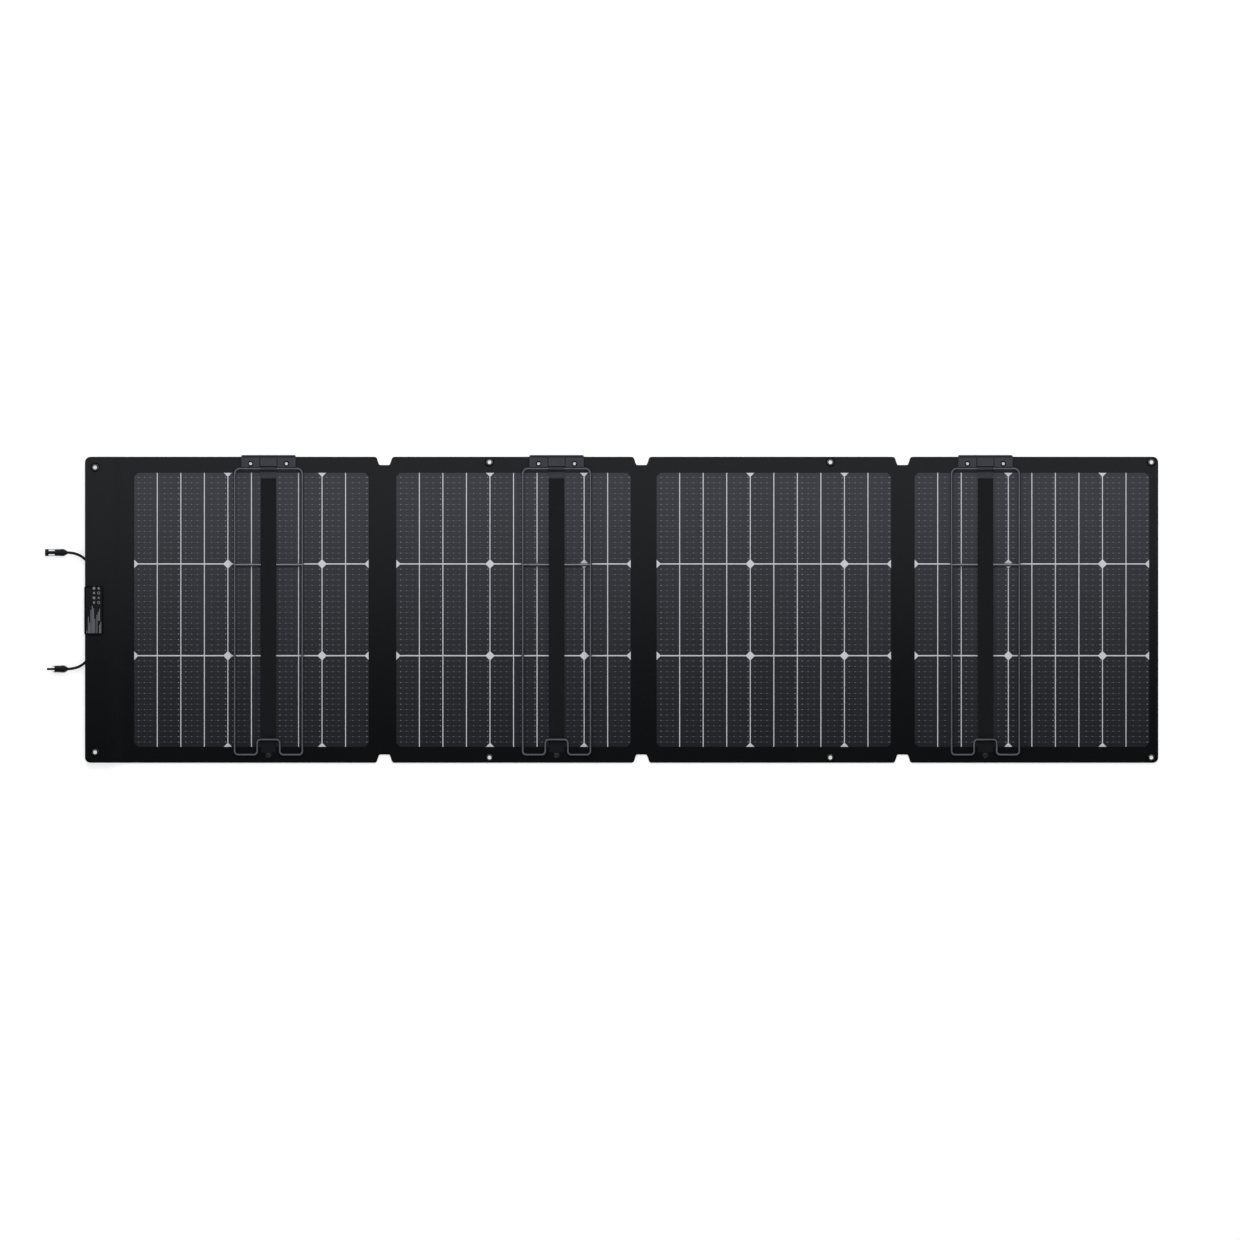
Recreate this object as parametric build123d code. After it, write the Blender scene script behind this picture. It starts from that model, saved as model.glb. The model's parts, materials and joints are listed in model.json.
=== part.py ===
from build123d import *
import math
import os

# Folding solar sheet, in millimetres. X runs along the unfolded sheet, Y across it, and Z up.
# The origin is the middle of the sheet on its ground face. The sun side is down and the stand side is up.

# Cells: quarter strips of a square cell with cut corners, laid in rows.
strip_width = 45.5
strip_length = 182.0
strip_gap = 1.8
row_gap = 2.4
cell_corner_cut = 7.4
strips_per_cell = 4
strips_per_row = 10
row_count = 3
cell_recess = 0.6
spacer_recess = 0.65

# Sheet: black border around four cell windows, with a flexible strip and a notched end at each fold.
sheet_thickness = 3.0
left_border = 99.0
right_border = 18.4
edge_border = 32.1
fold_margins = ((31.7, 23.8), (21.6, 30.3), (23.1, 24.3))
corner_radius = 11.0
notch_depth = 16.5
notch_bottom = 21.0
notch_mouth = 32.0
notch_bottom_radius = 3.0
notch_mouth_radius = 6.0
fold_strip_width = 28.0
body_gap = 0.3

# Lifted left border: it runs over the lower half of the junction box and over the leads.
border_lift = 10.0
ramp_foot = 20.0
ramp_run = 28.0
ramp_radius = 50.0

# Eyelets: two in each panel, placed from the left fold or edge and from the nearer long edge.
eyelet_bore_radius = 3.75
eyelet_wall = 0.95
eyelet_lip_radius = 7.25
eyelet_flange_radius = 8.75
eyelet_height = 1.2
eyelet_flange_thickness = 0.35
washer_radius = 8.0
washer_thickness = 0.55
fit_gap = 0.05
eyelet_from_left = (20.4, 211.1, 379.5, 500.1)
eyelet_from_edge = (21.3, 10.7, 10.7, 10.7)

# Wire stands: distance of each stand from the middle of its own cell window.
stand_panels = {"left_stand": 0, "middle_stand": 1, "right_stand": 3}
stand_offsets = {"left_stand": 34.2, "middle_stand": 86.5, "right_stand": -93.3}
wire_diameter = 5.0
stand_width = 136.0
stand_axis_from_edge = 23.5
stand_foot_from_edge = 16.5
stand_top_radius = 11.0
stand_bend_radius = 7.0
lift_notch_width = 45.4
lift_notch_depth = 30.3
crossbar_diameter = 6.0
crossbar_from_axis = 193.8

# Straps of woven webbing, looped round the wire at the hinge and pressed shut at the far end.
strap_width = 31.0
strap_thickness = 1.0
strap_tab_length = 20.9
strap_end_from_edge = 21.1
tongue_width = 14.0
tongue_length = 12.6
snap_from_edge = 15.2
strap_slack_gap = 0.2
strap_layer_gap = 0.05
strap_tab_flat_share = 0.45
strap_turn_radii = (60.0, 120.0, 60.0)
loop_gap = 0.1

# Hinge block: a base and a cover, screwed through the border, that trap the wire.
block_length = 110.0
block_overhang = 3.5
block_cover_setback = 1.6
block_front_cut = 1.6
block_centre_length = 34.6
block_centre_setback = 4.2
block_top_wall = 1.7
block_corner_radius = 3.0
block_edge_cut = 0.7
block_front_lip = 0.85
block_front_lip_drop = 0.8
block_flange_gap = 0.3
wire_running_gap = 0.05
segment_groove = 1.4
rim_step = 4.6
rim_depth = 0.9
hinge_screw_spacing = 72.0
hinge_screw_from_edge = 14.0
screw_head_radius = 3.5
screw_head_height = 1.3
screw_recess_radius = 5.75
screw_recess_depth = 1.9
screw_shank_radius = 1.5
screw_slot = 0.9
screw_slot_share = 0.6
screw_tip = 0.8

# Press studs.
snap_cap_radius = 5.0
snap_cap_height = 2.2
snap_cap_dome = 1.5
snap_barrel_radius = 3.1
snap_cavity_radius = 2.4
stud_disc_thickness = 0.4
stud_post_radius = 1.7
stud_head_radius = 2.0
stud_height = 2.0
stud_head_thickness = 0.8
stud_tail_radius = 1.25
stud_tail_bottom = 0.6

# Junction box: two half shells clamped on the lifted left edge.
box_width = 38.2
box_length = 98.7
box_middle_y = -1.5
box_overhang = 1.5
box_upper_height = 3.6
box_wall = 1.6
box_corner_radius = 4.0
box_edge_radius = 0.8
gasket_width = 1.8
gasket_height = 0.8
board_width = 24.0
board_length = 66.0
board_thickness = 1.2
board_height = 3.6
board_post_radius = 2.2
diode_size = (9.0, 6.5, 2.4)
diode_count = 3
diode_spacing = 15.0
terminal_size = (9.0, 5.0, 3.4)
label_margin = 3.2
label_thickness = 0.3
box_screw_radius = 1.5
box_screw_head_radius = 2.7
box_screw_head_height = 1.8
box_post_radius = 3.4
box_screw_inset = 5.2
ribbon_width = 8.0
ribbon_thickness = 0.4
ribbon_spacing = 40.0
ribbon_slot_length = 12.0

# Leads and their connectors. Each step is how far a bend lies from the mouth of the gland.
lead_diameter = 5.6
turn_share = 0.45
least_turn = 5.0
gland_neck_radius = 3.6
gland_radius = 4.6
gland_flange_thickness = 1.6
gland_length = 9.5
gland_mouth_radius = 3.5
socket_steps = ((0, 0, 0), (0, 18.15, 0), (-13.7, 43.05, 0.4), (-36.1, 57.25, 1.6), (-53.4, 57.65, 2.3))
plug_steps = ((0, 0, 0), (0, 18.65, 0), (-13.3, 43.65, 0.4), (-35.1, 57.85, 1.6), (-52.1, 58.65, 2.3))
connector_radius = 7.25
connector_waist_radius = 6.9
connector_tail_radius = 3.6
connector_taper = 6.5
connector_nut_length = 14.0
connector_ribs = 18
connector_rib_depth = 0.45
connector_rib_gap = 0.9
connector_rib_end = 0.8
connector_contact_room = 0.4
socket_body_length = 11.0
socket_window_length = 12.2
socket_collar_length = 7.3
socket_core_radius = 3.3
socket_arm_thickness = 1.1
socket_arm_width = 4.4
socket_arm_inset = 0.2
socket_bore_radius = 2.45
socket_bore_depth = 14.0
plug_body_length = 12.9
plug_nose_radius = 2.35
plug_nose_length = 15.0
plug_prong = (4.2, 1.3, 2.6)
plug_prong_offset = 5.6
contact_radius = 1.0
contact_inset = 1.0
contact_length = 26.0
socket_contact_radius = 1.6

# Places worked out from the sizes above.
window_width = strips_per_row * strip_width + (strips_per_row - 1) * strip_gap
window_height = row_count * strip_length + (row_count - 1) * row_gap
panel_count = len(fold_margins) + 1
margin_total = sum(before + after for before, after in fold_margins)
sheet_length = left_border + panel_count * window_width + margin_total + right_border
sheet_height = window_height + 2 * edge_border
stand_length = sheet_height - stand_axis_from_edge - stand_foot_from_edge
left_edge = -sheet_length / 2
right_edge = sheet_length / 2
top_edge = sheet_height / 2
bottom_edge = -sheet_height / 2


def layout():
    """Left side of each cell window and place of each fold line, from left to right."""
    windows = []
    folds = []
    x = left_edge + left_border
    for before, after in fold_margins:
        windows.append(x)
        x += window_width + before
        folds.append(x)
        x += after
    windows.append(x)
    return windows, folds


window_left, fold_x = layout()
window_middle = [x + window_width / 2 for x in window_left]
panel_start = [left_edge] + fold_x
cell_top = sheet_thickness - cell_recess
spacer_top = sheet_thickness - spacer_recess
lifted_bottom = border_lift
lifted_top = border_lift + sheet_thickness
wire_radius = wire_diameter / 2
strap_rest = sheet_thickness + body_gap + strap_thickness / 2
axis_y = top_edge - stand_axis_from_edge
axis_z = sheet_thickness + body_gap + strap_thickness + strap_slack_gap + wire_radius
crossbar_y = axis_y - crossbar_from_axis
strap_over_crossbar = axis_z + crossbar_diameter / 2 + strap_slack_gap + strap_thickness / 2
snap_y = bottom_edge + snap_from_edge
strap_end_y = bottom_edge + strap_end_from_edge
block_top = axis_z + wire_radius + block_top_wall
block_back = top_edge + block_overhang
screw_y = top_edge - hinge_screw_from_edge
stand_x = {name: window_middle[panel] + stand_offsets[name] for name, panel in stand_panels.items()}
box_left = left_edge - box_overhang
box_middle_x = box_left + box_width / 2
far = 4 * sheet_height
nodes = {}


def slab(x0, x1, y0, y1, z0, z1):
    """Box between two corners."""
    size = (x1 - x0, y1 - y0, z1 - z0)
    return Pos((x0 + x1) / 2, (y0 + y1) / 2, (z0 + z1) / 2) * Box(*size)


def rod(x, y, z0, z1, radius):
    """Upright cylinder between two heights."""
    return Pos(x, y, (z0 + z1) / 2) * Cylinder(radius, z1 - z0)


def bar_x(x0, x1, y, z, radius):
    """Cylinder along X."""
    return Pos((x0 + x1) / 2, y, z) * Rot(0, 90, 0) * Cylinder(radius, x1 - x0)


def bar_y(x, y0, y1, z, radius):
    """Cylinder along Y."""
    return Pos(x, (y0 + y1) / 2, z) * Rot(90, 0, 0) * Cylinder(radius, y1 - y0)


def taper_x(x0, r0, x1, r1, y, z):
    """Cone frustum along X, from radius r0 at x0 to radius r1 at x1."""
    return Pos((x0 + x1) / 2, y, z) * Rot(0, 90, 0) * Cone(r0, r1, x1 - x0)


def turned(profile, x, y, z):
    """Solid turned about an upright axis from a face drawn with radius along X and height along Y."""
    return Pos(x, y, z) * revolve(Plane.XZ * profile, Axis.Z)


def solids_of(shapes):
    """One compound of separate solids."""
    return Compound(children=[solid for shape in shapes for solid in shape.solids()])


# ---------------------------------------------------------------- sheet


def sheet_outline():
    """Plan of the whole sheet: rounded corners, and a notch at both ends of every fold line."""
    outline = Rectangle(sheet_length, sheet_height)
    half_mouth = notch_mouth / 2
    half_bottom = notch_bottom / 2
    for x in fold_x:
        for side in (1, -1):
            corners = [
                (x - half_mouth, side * top_edge),
                (x + half_mouth, side * top_edge),
                (x + half_bottom, side * (top_edge - notch_depth)),
                (x - half_bottom, side * (top_edge - notch_depth)),
            ]
            outline -= make_face(Polyline(corners, close=True))
    outline = fillet(corners_of(outline, [left_edge, right_edge], top_edge), corner_radius)
    mouths = [x + side * half_mouth for x in fold_x for side in (-1, 1)]
    outline = fillet(corners_of(outline, mouths, top_edge), notch_mouth_radius)
    bottoms = [x + side * half_bottom for x in fold_x for side in (-1, 1)]
    return fillet(corners_of(outline, bottoms, top_edge - notch_depth), notch_bottom_radius)


def corners_of(outline, x_values, y):
    """Corners of a plan at any of the X values, on both sides of the sheet."""
    near = 0.01
    return [
        v
        for v in outline.vertices()
        if abs(abs(v.Y) - y) < near and min(abs(v.X - x) for x in x_values) < near
    ]


def window_outline(panel):
    """Plan of a panel's cell field, with the four corners cut like the cells."""
    field = Rectangle(window_width, window_height)
    return Pos(window_middle[panel], 0) * chamfer(field.vertices(), cell_corner_cut)


def cell_strips(panel):
    """Plans of the panel's strips. The outer strips of each cell have both outer corners cut."""
    strips = []
    for row in range(row_count):
        y = -window_height / 2 + strip_length / 2 + row * (strip_length + row_gap)
        for column in range(strips_per_row):
            x = window_left[panel] + strip_width / 2 + column * (strip_width + strip_gap)
            strip = Rectangle(strip_width, strip_length)
            place = column % strips_per_cell
            if place == 0:
                strip = chamfer(strip.vertices().group_by(Axis.X)[0], cell_corner_cut)
            if place == strips_per_cell - 1 or column == strips_per_row - 1:
                strip = chamfer(strip.vertices().group_by(Axis.X)[-1], cell_corner_cut)
            strips.append(Pos(x, y) * strip)
    return strips


def span(x0, x1):
    """Plan of the sheet between two X values."""
    return sheet_plan & (Pos((x0 + x1) / 2, 0) * Rectangle(x1 - x0, far))


def ramp_layer(bottom, thickness, x0, x1, y0, y1):
    """Layer of the left border that rises from the ground plane onto the junction box."""
    z = bottom + thickness / 2
    foot = window_left[0] - ramp_foot
    start = (x1, z)
    end = (x0, z + border_lift)
    corners = [start, (foot, z), (foot - ramp_run, z + border_lift), end]
    path = FilletPolyline([(x, 0, h) for x, h in corners], radius=ramp_radius)
    section = Plane(origin=path @ 0, x_dir=(0, 1, 0), z_dir=path % 0) * Rectangle(y1 - y0, thickness)
    return Pos(0, (y0 + y1) / 2, 0) * sweep(section, path=path)


def panel_slab(panel):
    """Blank of a panel's border, still without its window and its holes."""
    half = fold_strip_width / 2
    x0 = panel_start[panel]
    x1 = fold_x[panel] if panel < panel_count - 1 else right_edge
    if panel > 0:
        x0 += half + (0 if panel == 1 else body_gap)
    if panel < panel_count - 1:
        x1 -= half + (body_gap if panel == 0 else 0)
    if panel == 0:
        blank = ramp_layer(0, sheet_thickness, x0, x1, -far / 2, far / 2)
        return blank & extrude(span(x0, x1), border_lift + far)
    return extrude(span(x0, x1), sheet_thickness)


def eyelet_places(panel):
    """The two eyelet centres of a panel and the height of the border's underside there."""
    x = panel_start[panel] + eyelet_from_left[panel]
    y = top_edge - eyelet_from_edge[panel]
    bottom = lifted_bottom if panel == 0 else 0
    return [(x, y, bottom), (x, -y, bottom)]


def border(panel):
    """Black laminate border of one panel, with every hole that its fittings need."""
    body = panel_slab(panel) - extrude(window_outline(panel), far, both=True)
    for x, y, bottom in eyelet_places(panel):
        hole = eyelet_bore_radius + eyelet_wall + fit_gap
        body -= rod(x, y, bottom - 1, bottom + sheet_thickness + 1, hole)
        body -= rod(x, y, bottom - 1, bottom + washer_thickness + fit_gap, washer_radius + fit_gap)
    for name, owner in stand_panels.items():
        if owner == panel:
            for side in (-1, 1):
                x = stand_x[name] + side * hinge_screw_spacing / 2
                hole = screw_shank_radius + fit_gap
                body -= rod(x, screw_y, screw_tip - fit_gap, sheet_thickness + 1, hole)
            disc = sheet_thickness - stud_disc_thickness
            body -= rod(stand_x[name], snap_y, disc, sheet_thickness + 1, snap_cap_radius + fit_gap)
            body -= rod(stand_x[name], snap_y, stud_tail_bottom, disc, stud_tail_radius + fit_gap)
    if panel == 0:
        for x, y in box_screw_places():
            body -= rod(x, y, lifted_bottom - 1, lifted_top + 1, box_screw_radius + fit_gap)
        for ribbon in ribbons():
            body -= ribbon
        body -= slab(
            box_middle_x - ribbon_slot_length / 2,
            box_middle_x + ribbon_slot_length / 2,
            box_middle_y - (ribbon_spacing + ribbon_width) / 2,
            box_middle_y + (ribbon_spacing + ribbon_width) / 2,
            lifted_bottom - 1,
            lifted_bottom + (sheet_thickness + ribbon_thickness) / 2,
        )
    return body


def ribbons():
    """Two flat copper ribbons inside the left border, from the cell field to the junction box."""
    found = []
    for side in (-1, 1):
        y = box_middle_y + side * ribbon_spacing / 2
        middle = (sheet_thickness - ribbon_thickness) / 2
        found.append(
            ramp_layer(
                middle,
                ribbon_thickness,
                box_middle_x,
                window_left[0],
                y - ribbon_width / 2,
                y + ribbon_width / 2,
            )
        )
    return found


def eyelets(panel):
    """Rolled brass eyelet and flat washer in each hole."""
    outer = eyelet_bore_radius + eyelet_wall
    found = []
    for x, y, bottom in eyelet_places(panel):
        low = fit_gap
        top = sheet_thickness + eyelet_height
        flange = sheet_thickness + eyelet_flange_thickness
        middle = (eyelet_lip_radius + eyelet_bore_radius) / 2
        outline = Polyline(
            (eyelet_bore_radius, flange),
            (eyelet_bore_radius, low),
            (outer, low),
            (outer, sheet_thickness),
            (eyelet_flange_radius, sheet_thickness),
            (eyelet_flange_radius, flange),
            (eyelet_lip_radius, flange),
        ) + ThreePointArc((eyelet_lip_radius, flange), (middle, top), (eyelet_bore_radius, flange))
        found.append(turned(make_face(outline), x, y, bottom))
        washer = rod(x, y, bottom + low, bottom + washer_thickness, washer_radius)
        found.append(washer - rod(x, y, bottom - 1, bottom + 1, outer + fit_gap))
    return solids_of(found)


def fold_strip(index):
    """Flexible strip across a fold line. It belongs to the panel that it meets face to face."""
    half = fold_strip_width / 2
    return extrude(span(fold_x[index] - half, fold_x[index] + half), sheet_thickness)


def spacer(panel):
    """Pale spacer grid that fills the gaps and the cut corners between the strips."""
    field = window_outline(panel)
    for strip in cell_strips(panel):
        field -= strip
    return extrude(field, spacer_top)


# ---------------------------------------------------------------- wire stands


def stand_wire(x):
    """Closed wire frame with a small notch in its foot to lift it by."""
    side = stand_width / 2
    foot = axis_y - stand_length
    notch = lift_notch_width / 2
    corners = [
        (side, axis_y),
        (side, foot),
        (notch, foot),
        (notch, foot + lift_notch_depth),
        (-notch, foot + lift_notch_depth),
        (-notch, foot),
        (-side, foot),
        (-side, axis_y),
    ]
    top = stand_top_radius
    bend = stand_bend_radius
    radii = [top, bend, bend, bend, bend, bend, bend, top]
    path = FilletPolyline([(px, py, axis_z) for px, py in corners], radius=radii, close=True)
    section = Plane(origin=path @ 0, z_dir=path % 0) * Circle(wire_radius)
    return Pos(x, 0, 0) * sweep(section, path=path)


def stand_crossbar(x):
    """Plain steel rod welded between the two legs."""
    side = stand_width / 2
    bar = bar_x(x - side, x + side, crossbar_y, axis_z, crossbar_diameter / 2)
    ends = (crossbar_y - crossbar_diameter, crossbar_y + crossbar_diameter)
    for leg in (x - side, x + side):
        bar -= bar_y(leg, *ends, axis_z, wire_radius)
    return bar.solids().sort_by(SortBy.VOLUME)[-1]


def strap_path():
    """Middle line of the webbing: short end, loop round the wire, then down to the foot."""
    loop = wire_radius + loop_gap + strap_thickness / 2
    low = axis_z - loop
    upper = low + strap_thickness + strap_layer_gap
    tab_end = axis_y - strap_tab_length
    bend_y = axis_y - (1 - strap_tab_flat_share) * strap_tab_length
    reach = math.hypot(axis_y - bend_y, axis_z - upper)
    slope = math.atan2(axis_z - upper, axis_y - bend_y) + math.asin(loop / reach)
    touch = (0, axis_y - loop * math.sin(slope), axis_z + loop * math.cos(slope))
    short_end = FilletPolyline((0, tab_end, upper), (0, bend_y, upper), touch, radius=2 * strap_thickness)
    turn = ThreePointArc(touch, (0, axis_y + loop, axis_z), (0, axis_y, low))
    points = [
        (axis_y, low),
        (tab_end - strap_thickness, low),
        (crossbar_y, strap_over_crossbar),
        (axis_y - stand_length + lift_notch_depth + strap_width, strap_rest),
        (strap_end_y - tongue_length, strap_rest),
    ]
    long_end = FilletPolyline([(0, y, z) for y, z in points], radius=list(strap_turn_radii))
    return Wire(short_end.edges() + turn.edges() + long_end.edges())


def stand_strap(x):
    """Woven webbing strap, with a narrow tongue for the press stud."""
    path = strap_path()
    section = Rectangle(strap_width, strap_thickness)
    strap = sweep(Plane(origin=path @ 0, x_dir=(1, 0, 0), z_dir=path % 0) * section, path=path)
    strap_side = strap_width / 2
    tongue = tongue_width / 2
    tip = strap_end_y - tongue_length
    high = strap_rest + strap_thickness
    for side in (-1, 1):
        inner = side * tongue
        outer = side * (strap_side + 1)
        strap -= slab(min(inner, outer), max(inner, outer), tip - 1, strap_end_y, 0, high)
    strap = fillet(tongue_corners(strap, tip), tongue - 1)
    strap -= rod(0, snap_y, 0, high, snap_barrel_radius + loop_gap)
    return Pos(x, 0, 0) * strap


def tongue_corners(strap, tip):
    """Upright edges at the end of the tongue."""
    return [e for e in strap.edges().filter_by(Axis.Z) if abs(e.center().Y - tip) < 0.01]


def snap_cap(x):
    """Cap half of the press stud, set through the tongue."""
    under = strap_rest + strap_thickness / 2
    top = under + snap_cap_height
    low = strap_rest - strap_thickness / 2 + fit_gap
    body = rod(x, snap_y, under, top, snap_cap_radius)
    body = fillet(body.edges().sort_by(Axis.Z)[-1], snap_cap_dome)
    body += rod(x, snap_y, low, under, snap_barrel_radius)
    return body - rod(x, snap_y, low - 1, under + snap_cap_height / 2, snap_cavity_radius)


def snap_stud(x):
    """Stud half of the press stud, riveted into the border."""
    disc = sheet_thickness - stud_disc_thickness
    head = sheet_thickness + stud_height
    neck = head - stud_head_thickness
    body = rod(x, snap_y, stud_tail_bottom, disc, stud_tail_radius)
    body += rod(x, snap_y, disc, sheet_thickness, snap_cap_radius)
    body += rod(x, snap_y, sheet_thickness, head, stud_post_radius)
    body += rod(x, snap_y, neck, head, stud_head_radius)
    return body


def block_plan(x, front):
    """Plan of the hinge block, cut back in the middle to clear the strap's loop."""
    back = block_back
    plan = Pos(x, (front + back) / 2) * Rectangle(block_length, back - front)
    plan = fillet(plan.vertices().group_by(Axis.Y)[-1], block_corner_radius)
    centre_front = axis_y + block_centre_setback
    pocket = Pos(x, (front + centre_front) / 2) * Rectangle(block_centre_length, centre_front - front)
    return plan - pocket


def hinge_base(x):
    """Lower half of the hinge block: a saddle under the wire, and a flange down the sheet's edge."""
    bore = wire_radius + wire_running_gap
    front = axis_y - bore - block_front_lip
    body = Pos(0, 0, sheet_thickness) * extrude(block_plan(x, front), axis_z - sheet_thickness)
    half = block_length / 2
    body -= slab(x - half - 1, x + half + 1, front - 1, axis_y, axis_z - block_front_lip_drop, axis_z + 1)
    body -= bar_x(x - half - 1, x + half + 1, axis_y, axis_z, bore)
    inner = half - block_corner_radius
    flange = top_edge + block_flange_gap
    body += slab(x - inner, x + inner, flange, block_back, screw_tip, sheet_thickness)
    for side in (-1, 1):
        hole = x + side * hinge_screw_spacing / 2
        body -= rod(hole, screw_y, 0, axis_z + 1, screw_shank_radius + fit_gap)
    return body


def hinge_cover(x):
    """Upper half of the hinge block, in three segments, with a rim step and two screw recesses."""
    bore = wire_radius + wire_running_gap
    front = axis_y + block_cover_setback
    body = Pos(0, 0, axis_z) * extrude(block_plan(x, front), block_top - axis_z)
    body = chamfer(body.faces().sort_by(Axis.Z)[-1].edges(), block_edge_cut)
    half = block_length / 2
    end = half + 1
    body -= bar_x(x - end, x + end, axis_y, axis_z, bore)
    bevel = Box(2 * end, math.sqrt(2) * block_front_cut, math.sqrt(2) * block_front_cut)
    body -= Pos(x, front, block_top) * Rot(45, 0, 0) * bevel
    low = block_top - rim_depth
    body -= slab(x - end, x + end, block_back - rim_step, block_back + 1, low, block_top + 1)
    for side in (-1, 1):
        groove = x + side * block_centre_length / 2
        near = groove - segment_groove / 2
        body -= slab(near, near + segment_groove, front - 1, block_back + 1, low, block_top + 1)
        hole = x + side * hinge_screw_spacing / 2
        body -= rod(hole, screw_y, axis_z - 1, block_top + 1, screw_shank_radius + 2 * fit_gap)
        body -= rod(hole, screw_y, block_top - screw_recess_depth, block_top + 1, screw_recess_radius)
    return body


def hinge_screws(x):
    """Two pan-head screws with a driving slot."""
    found = []
    for side in (-1, 1):
        place = x + side * hinge_screw_spacing / 2
        seat = block_top - screw_recess_depth
        head = rod(place, screw_y, seat, seat + screw_head_height, screw_head_radius)
        head = fillet(head.edges().sort_by(Axis.Z)[-1], screw_head_height / 2)
        shank = rod(place, screw_y, screw_tip, seat, screw_shank_radius)
        top = seat + screw_head_height
        for angle in (0, 90):
            cross = Box(2 * screw_head_radius * screw_slot_share, screw_slot, screw_head_height)
            head -= Pos(place, screw_y, top) * Rot(0, 0, angle) * cross
        found.append(head + shank)
    return solids_of(found)


# ---------------------------------------------------------------- junction box


def box_screw_places():
    """Centres of the four clamping screws."""
    dx = box_width / 2 - box_screw_inset
    dy = box_length / 2 - box_screw_inset
    return [(box_middle_x + sx * dx, box_middle_y + sy * dy) for sx in (-1, 1) for sy in (-1, 1)]


def box_plan(inset=0.0):
    """Rounded plan of the junction box, drawn in by an inset."""
    radius = box_corner_radius - min(inset, box_corner_radius - 1)
    plan = RectangleRounded(box_width - 2 * inset, box_length - 2 * inset, radius)
    return Pos(box_middle_x, box_middle_y) * plan


def box_lower_shell():
    """Tray under the sheet that holds the board. The sheet closes its top."""
    body = extrude(box_plan(), lifted_bottom)
    body = chamfer(body.faces().sort_by(Axis.Z)[0].edges(), box_edge_radius)
    body -= Pos(0, 0, box_wall) * extrude(box_plan(box_wall + gasket_width), lifted_bottom)
    ring = box_plan(box_wall) - box_plan(box_wall + gasket_width)
    body -= Pos(0, 0, lifted_bottom - gasket_height) * extrude(ring, far)
    for x, y in box_screw_places():
        body += rod(x, y, box_edge_radius, lifted_bottom - gasket_height, box_post_radius)
    for x, y in board_posts():
        body += rod(x, y, box_wall / 2, board_height, board_post_radius)
    for x, y in box_screw_places():
        body -= rod(x, y, -1, lifted_bottom + 1, box_screw_radius + fit_gap)
        body -= rod(x, y, -1, box_screw_head_height + 2 * fit_gap, box_screw_head_radius + fit_gap)
    for side in (-1, 1):
        end = box_middle_y + side * box_length / 2
        inner = end - side * 3 * (box_wall + gasket_width)
        reach = sorted((end + side, inner))
        body -= bar_y(box_middle_x, *reach, lifted_bottom / 2, gland_neck_radius + fit_gap)
    return body


def board_posts():
    """Supports under the four corners of the board."""
    dx = board_width / 2 - board_post_radius
    dy = board_length / 2 - board_post_radius
    return [(box_middle_x + sx * dx, box_middle_y + sy * dy) for sx in (-1, 1) for sy in (-1, 1)]


def box_gasket():
    """Soft ring between the tray and the sheet."""
    ring = box_plan(box_wall + fit_gap) - box_plan(box_wall + gasket_width - fit_gap)
    body = Pos(0, 0, lifted_bottom - gasket_height) * extrude(ring, gasket_height)
    for x, y in box_screw_places():
        body -= rod(x, y, 0, lifted_bottom + 1, box_screw_radius + fit_gap)
    return body


def box_upper_shell():
    """Cover on the stand side, with a skirt past the sheet's edge and a shallow label recess."""
    top = lifted_top + box_upper_height
    body = Pos(0, 0, lifted_top) * extrude(box_plan(), box_upper_height)
    body = fillet(body.faces().sort_by(Axis.Z)[-1].edges(), box_edge_radius)
    body -= Pos(0, 0, lifted_top) * extrude(box_plan(3 * box_wall), box_upper_height - box_wall)
    skirt = extrude(box_plan(), sheet_thickness) & slab(box_left, left_edge - fit_gap, -far, far, -1, far)
    body += Pos(0, 0, lifted_bottom) * skirt
    for x, y in box_screw_places():
        body += rod(x, y, lifted_top, top - box_wall, box_post_radius)
        body -= rod(x, y, 0, top - box_wall, box_screw_radius + fit_gap)
    return body - Pos(0, 0, top - label_thickness) * extrude(box_plan(label_margin - fit_gap), far)


def box_label():
    """Thin plate bonded in the cover's recess."""
    top = lifted_top + box_upper_height
    return Pos(0, 0, top - label_thickness) * extrude(box_plan(label_margin), label_thickness)


def box_screws():
    """Four screws driven from below through the tray and the sheet into the cover."""
    found = []
    tip = lifted_top + box_upper_height - box_wall - fit_gap
    low = 4 * fit_gap
    for x, y in box_screw_places():
        head = rod(x, y, low, box_screw_head_height, box_screw_head_radius)
        slot = Box(2 * box_screw_head_radius * screw_slot_share, screw_slot, box_screw_head_height)
        found.append(head + rod(x, y, low, tip, box_screw_radius) - Pos(x, y, low) * slot)
    return solids_of(found)


def circuit_board():
    """Board with a terminal block for each lead."""
    length = board_length / 2
    board = slab(
        box_middle_x - board_width / 2,
        box_middle_x + board_width / 2,
        box_middle_y - length,
        box_middle_y + length,
        board_height,
        board_height + board_thickness,
    )
    found = [board]
    wide, deep, tall = terminal_size
    for side in (-1, 1):
        y = box_middle_y + side * (length - deep)
        seat = board_height + board_thickness
        block = Pos(box_middle_x, y, seat + tall / 2) * Box(wide, deep, tall)
        block -= Pos(box_middle_x, y, seat + tall) * Cylinder(contact_radius, tall)
        found.append(block)
    return solids_of(found)


def bypass_diodes():
    """Flat diodes in a row along the board."""
    wide, deep, tall = diode_size
    first = box_middle_y - (diode_count - 1) * diode_spacing / 2
    z = board_height + board_thickness + tall / 2
    places = [first + index * diode_spacing for index in range(diode_count)]
    return solids_of([Pos(box_middle_x, y, z) * Box(wide, deep, tall) for y in places])


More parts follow.
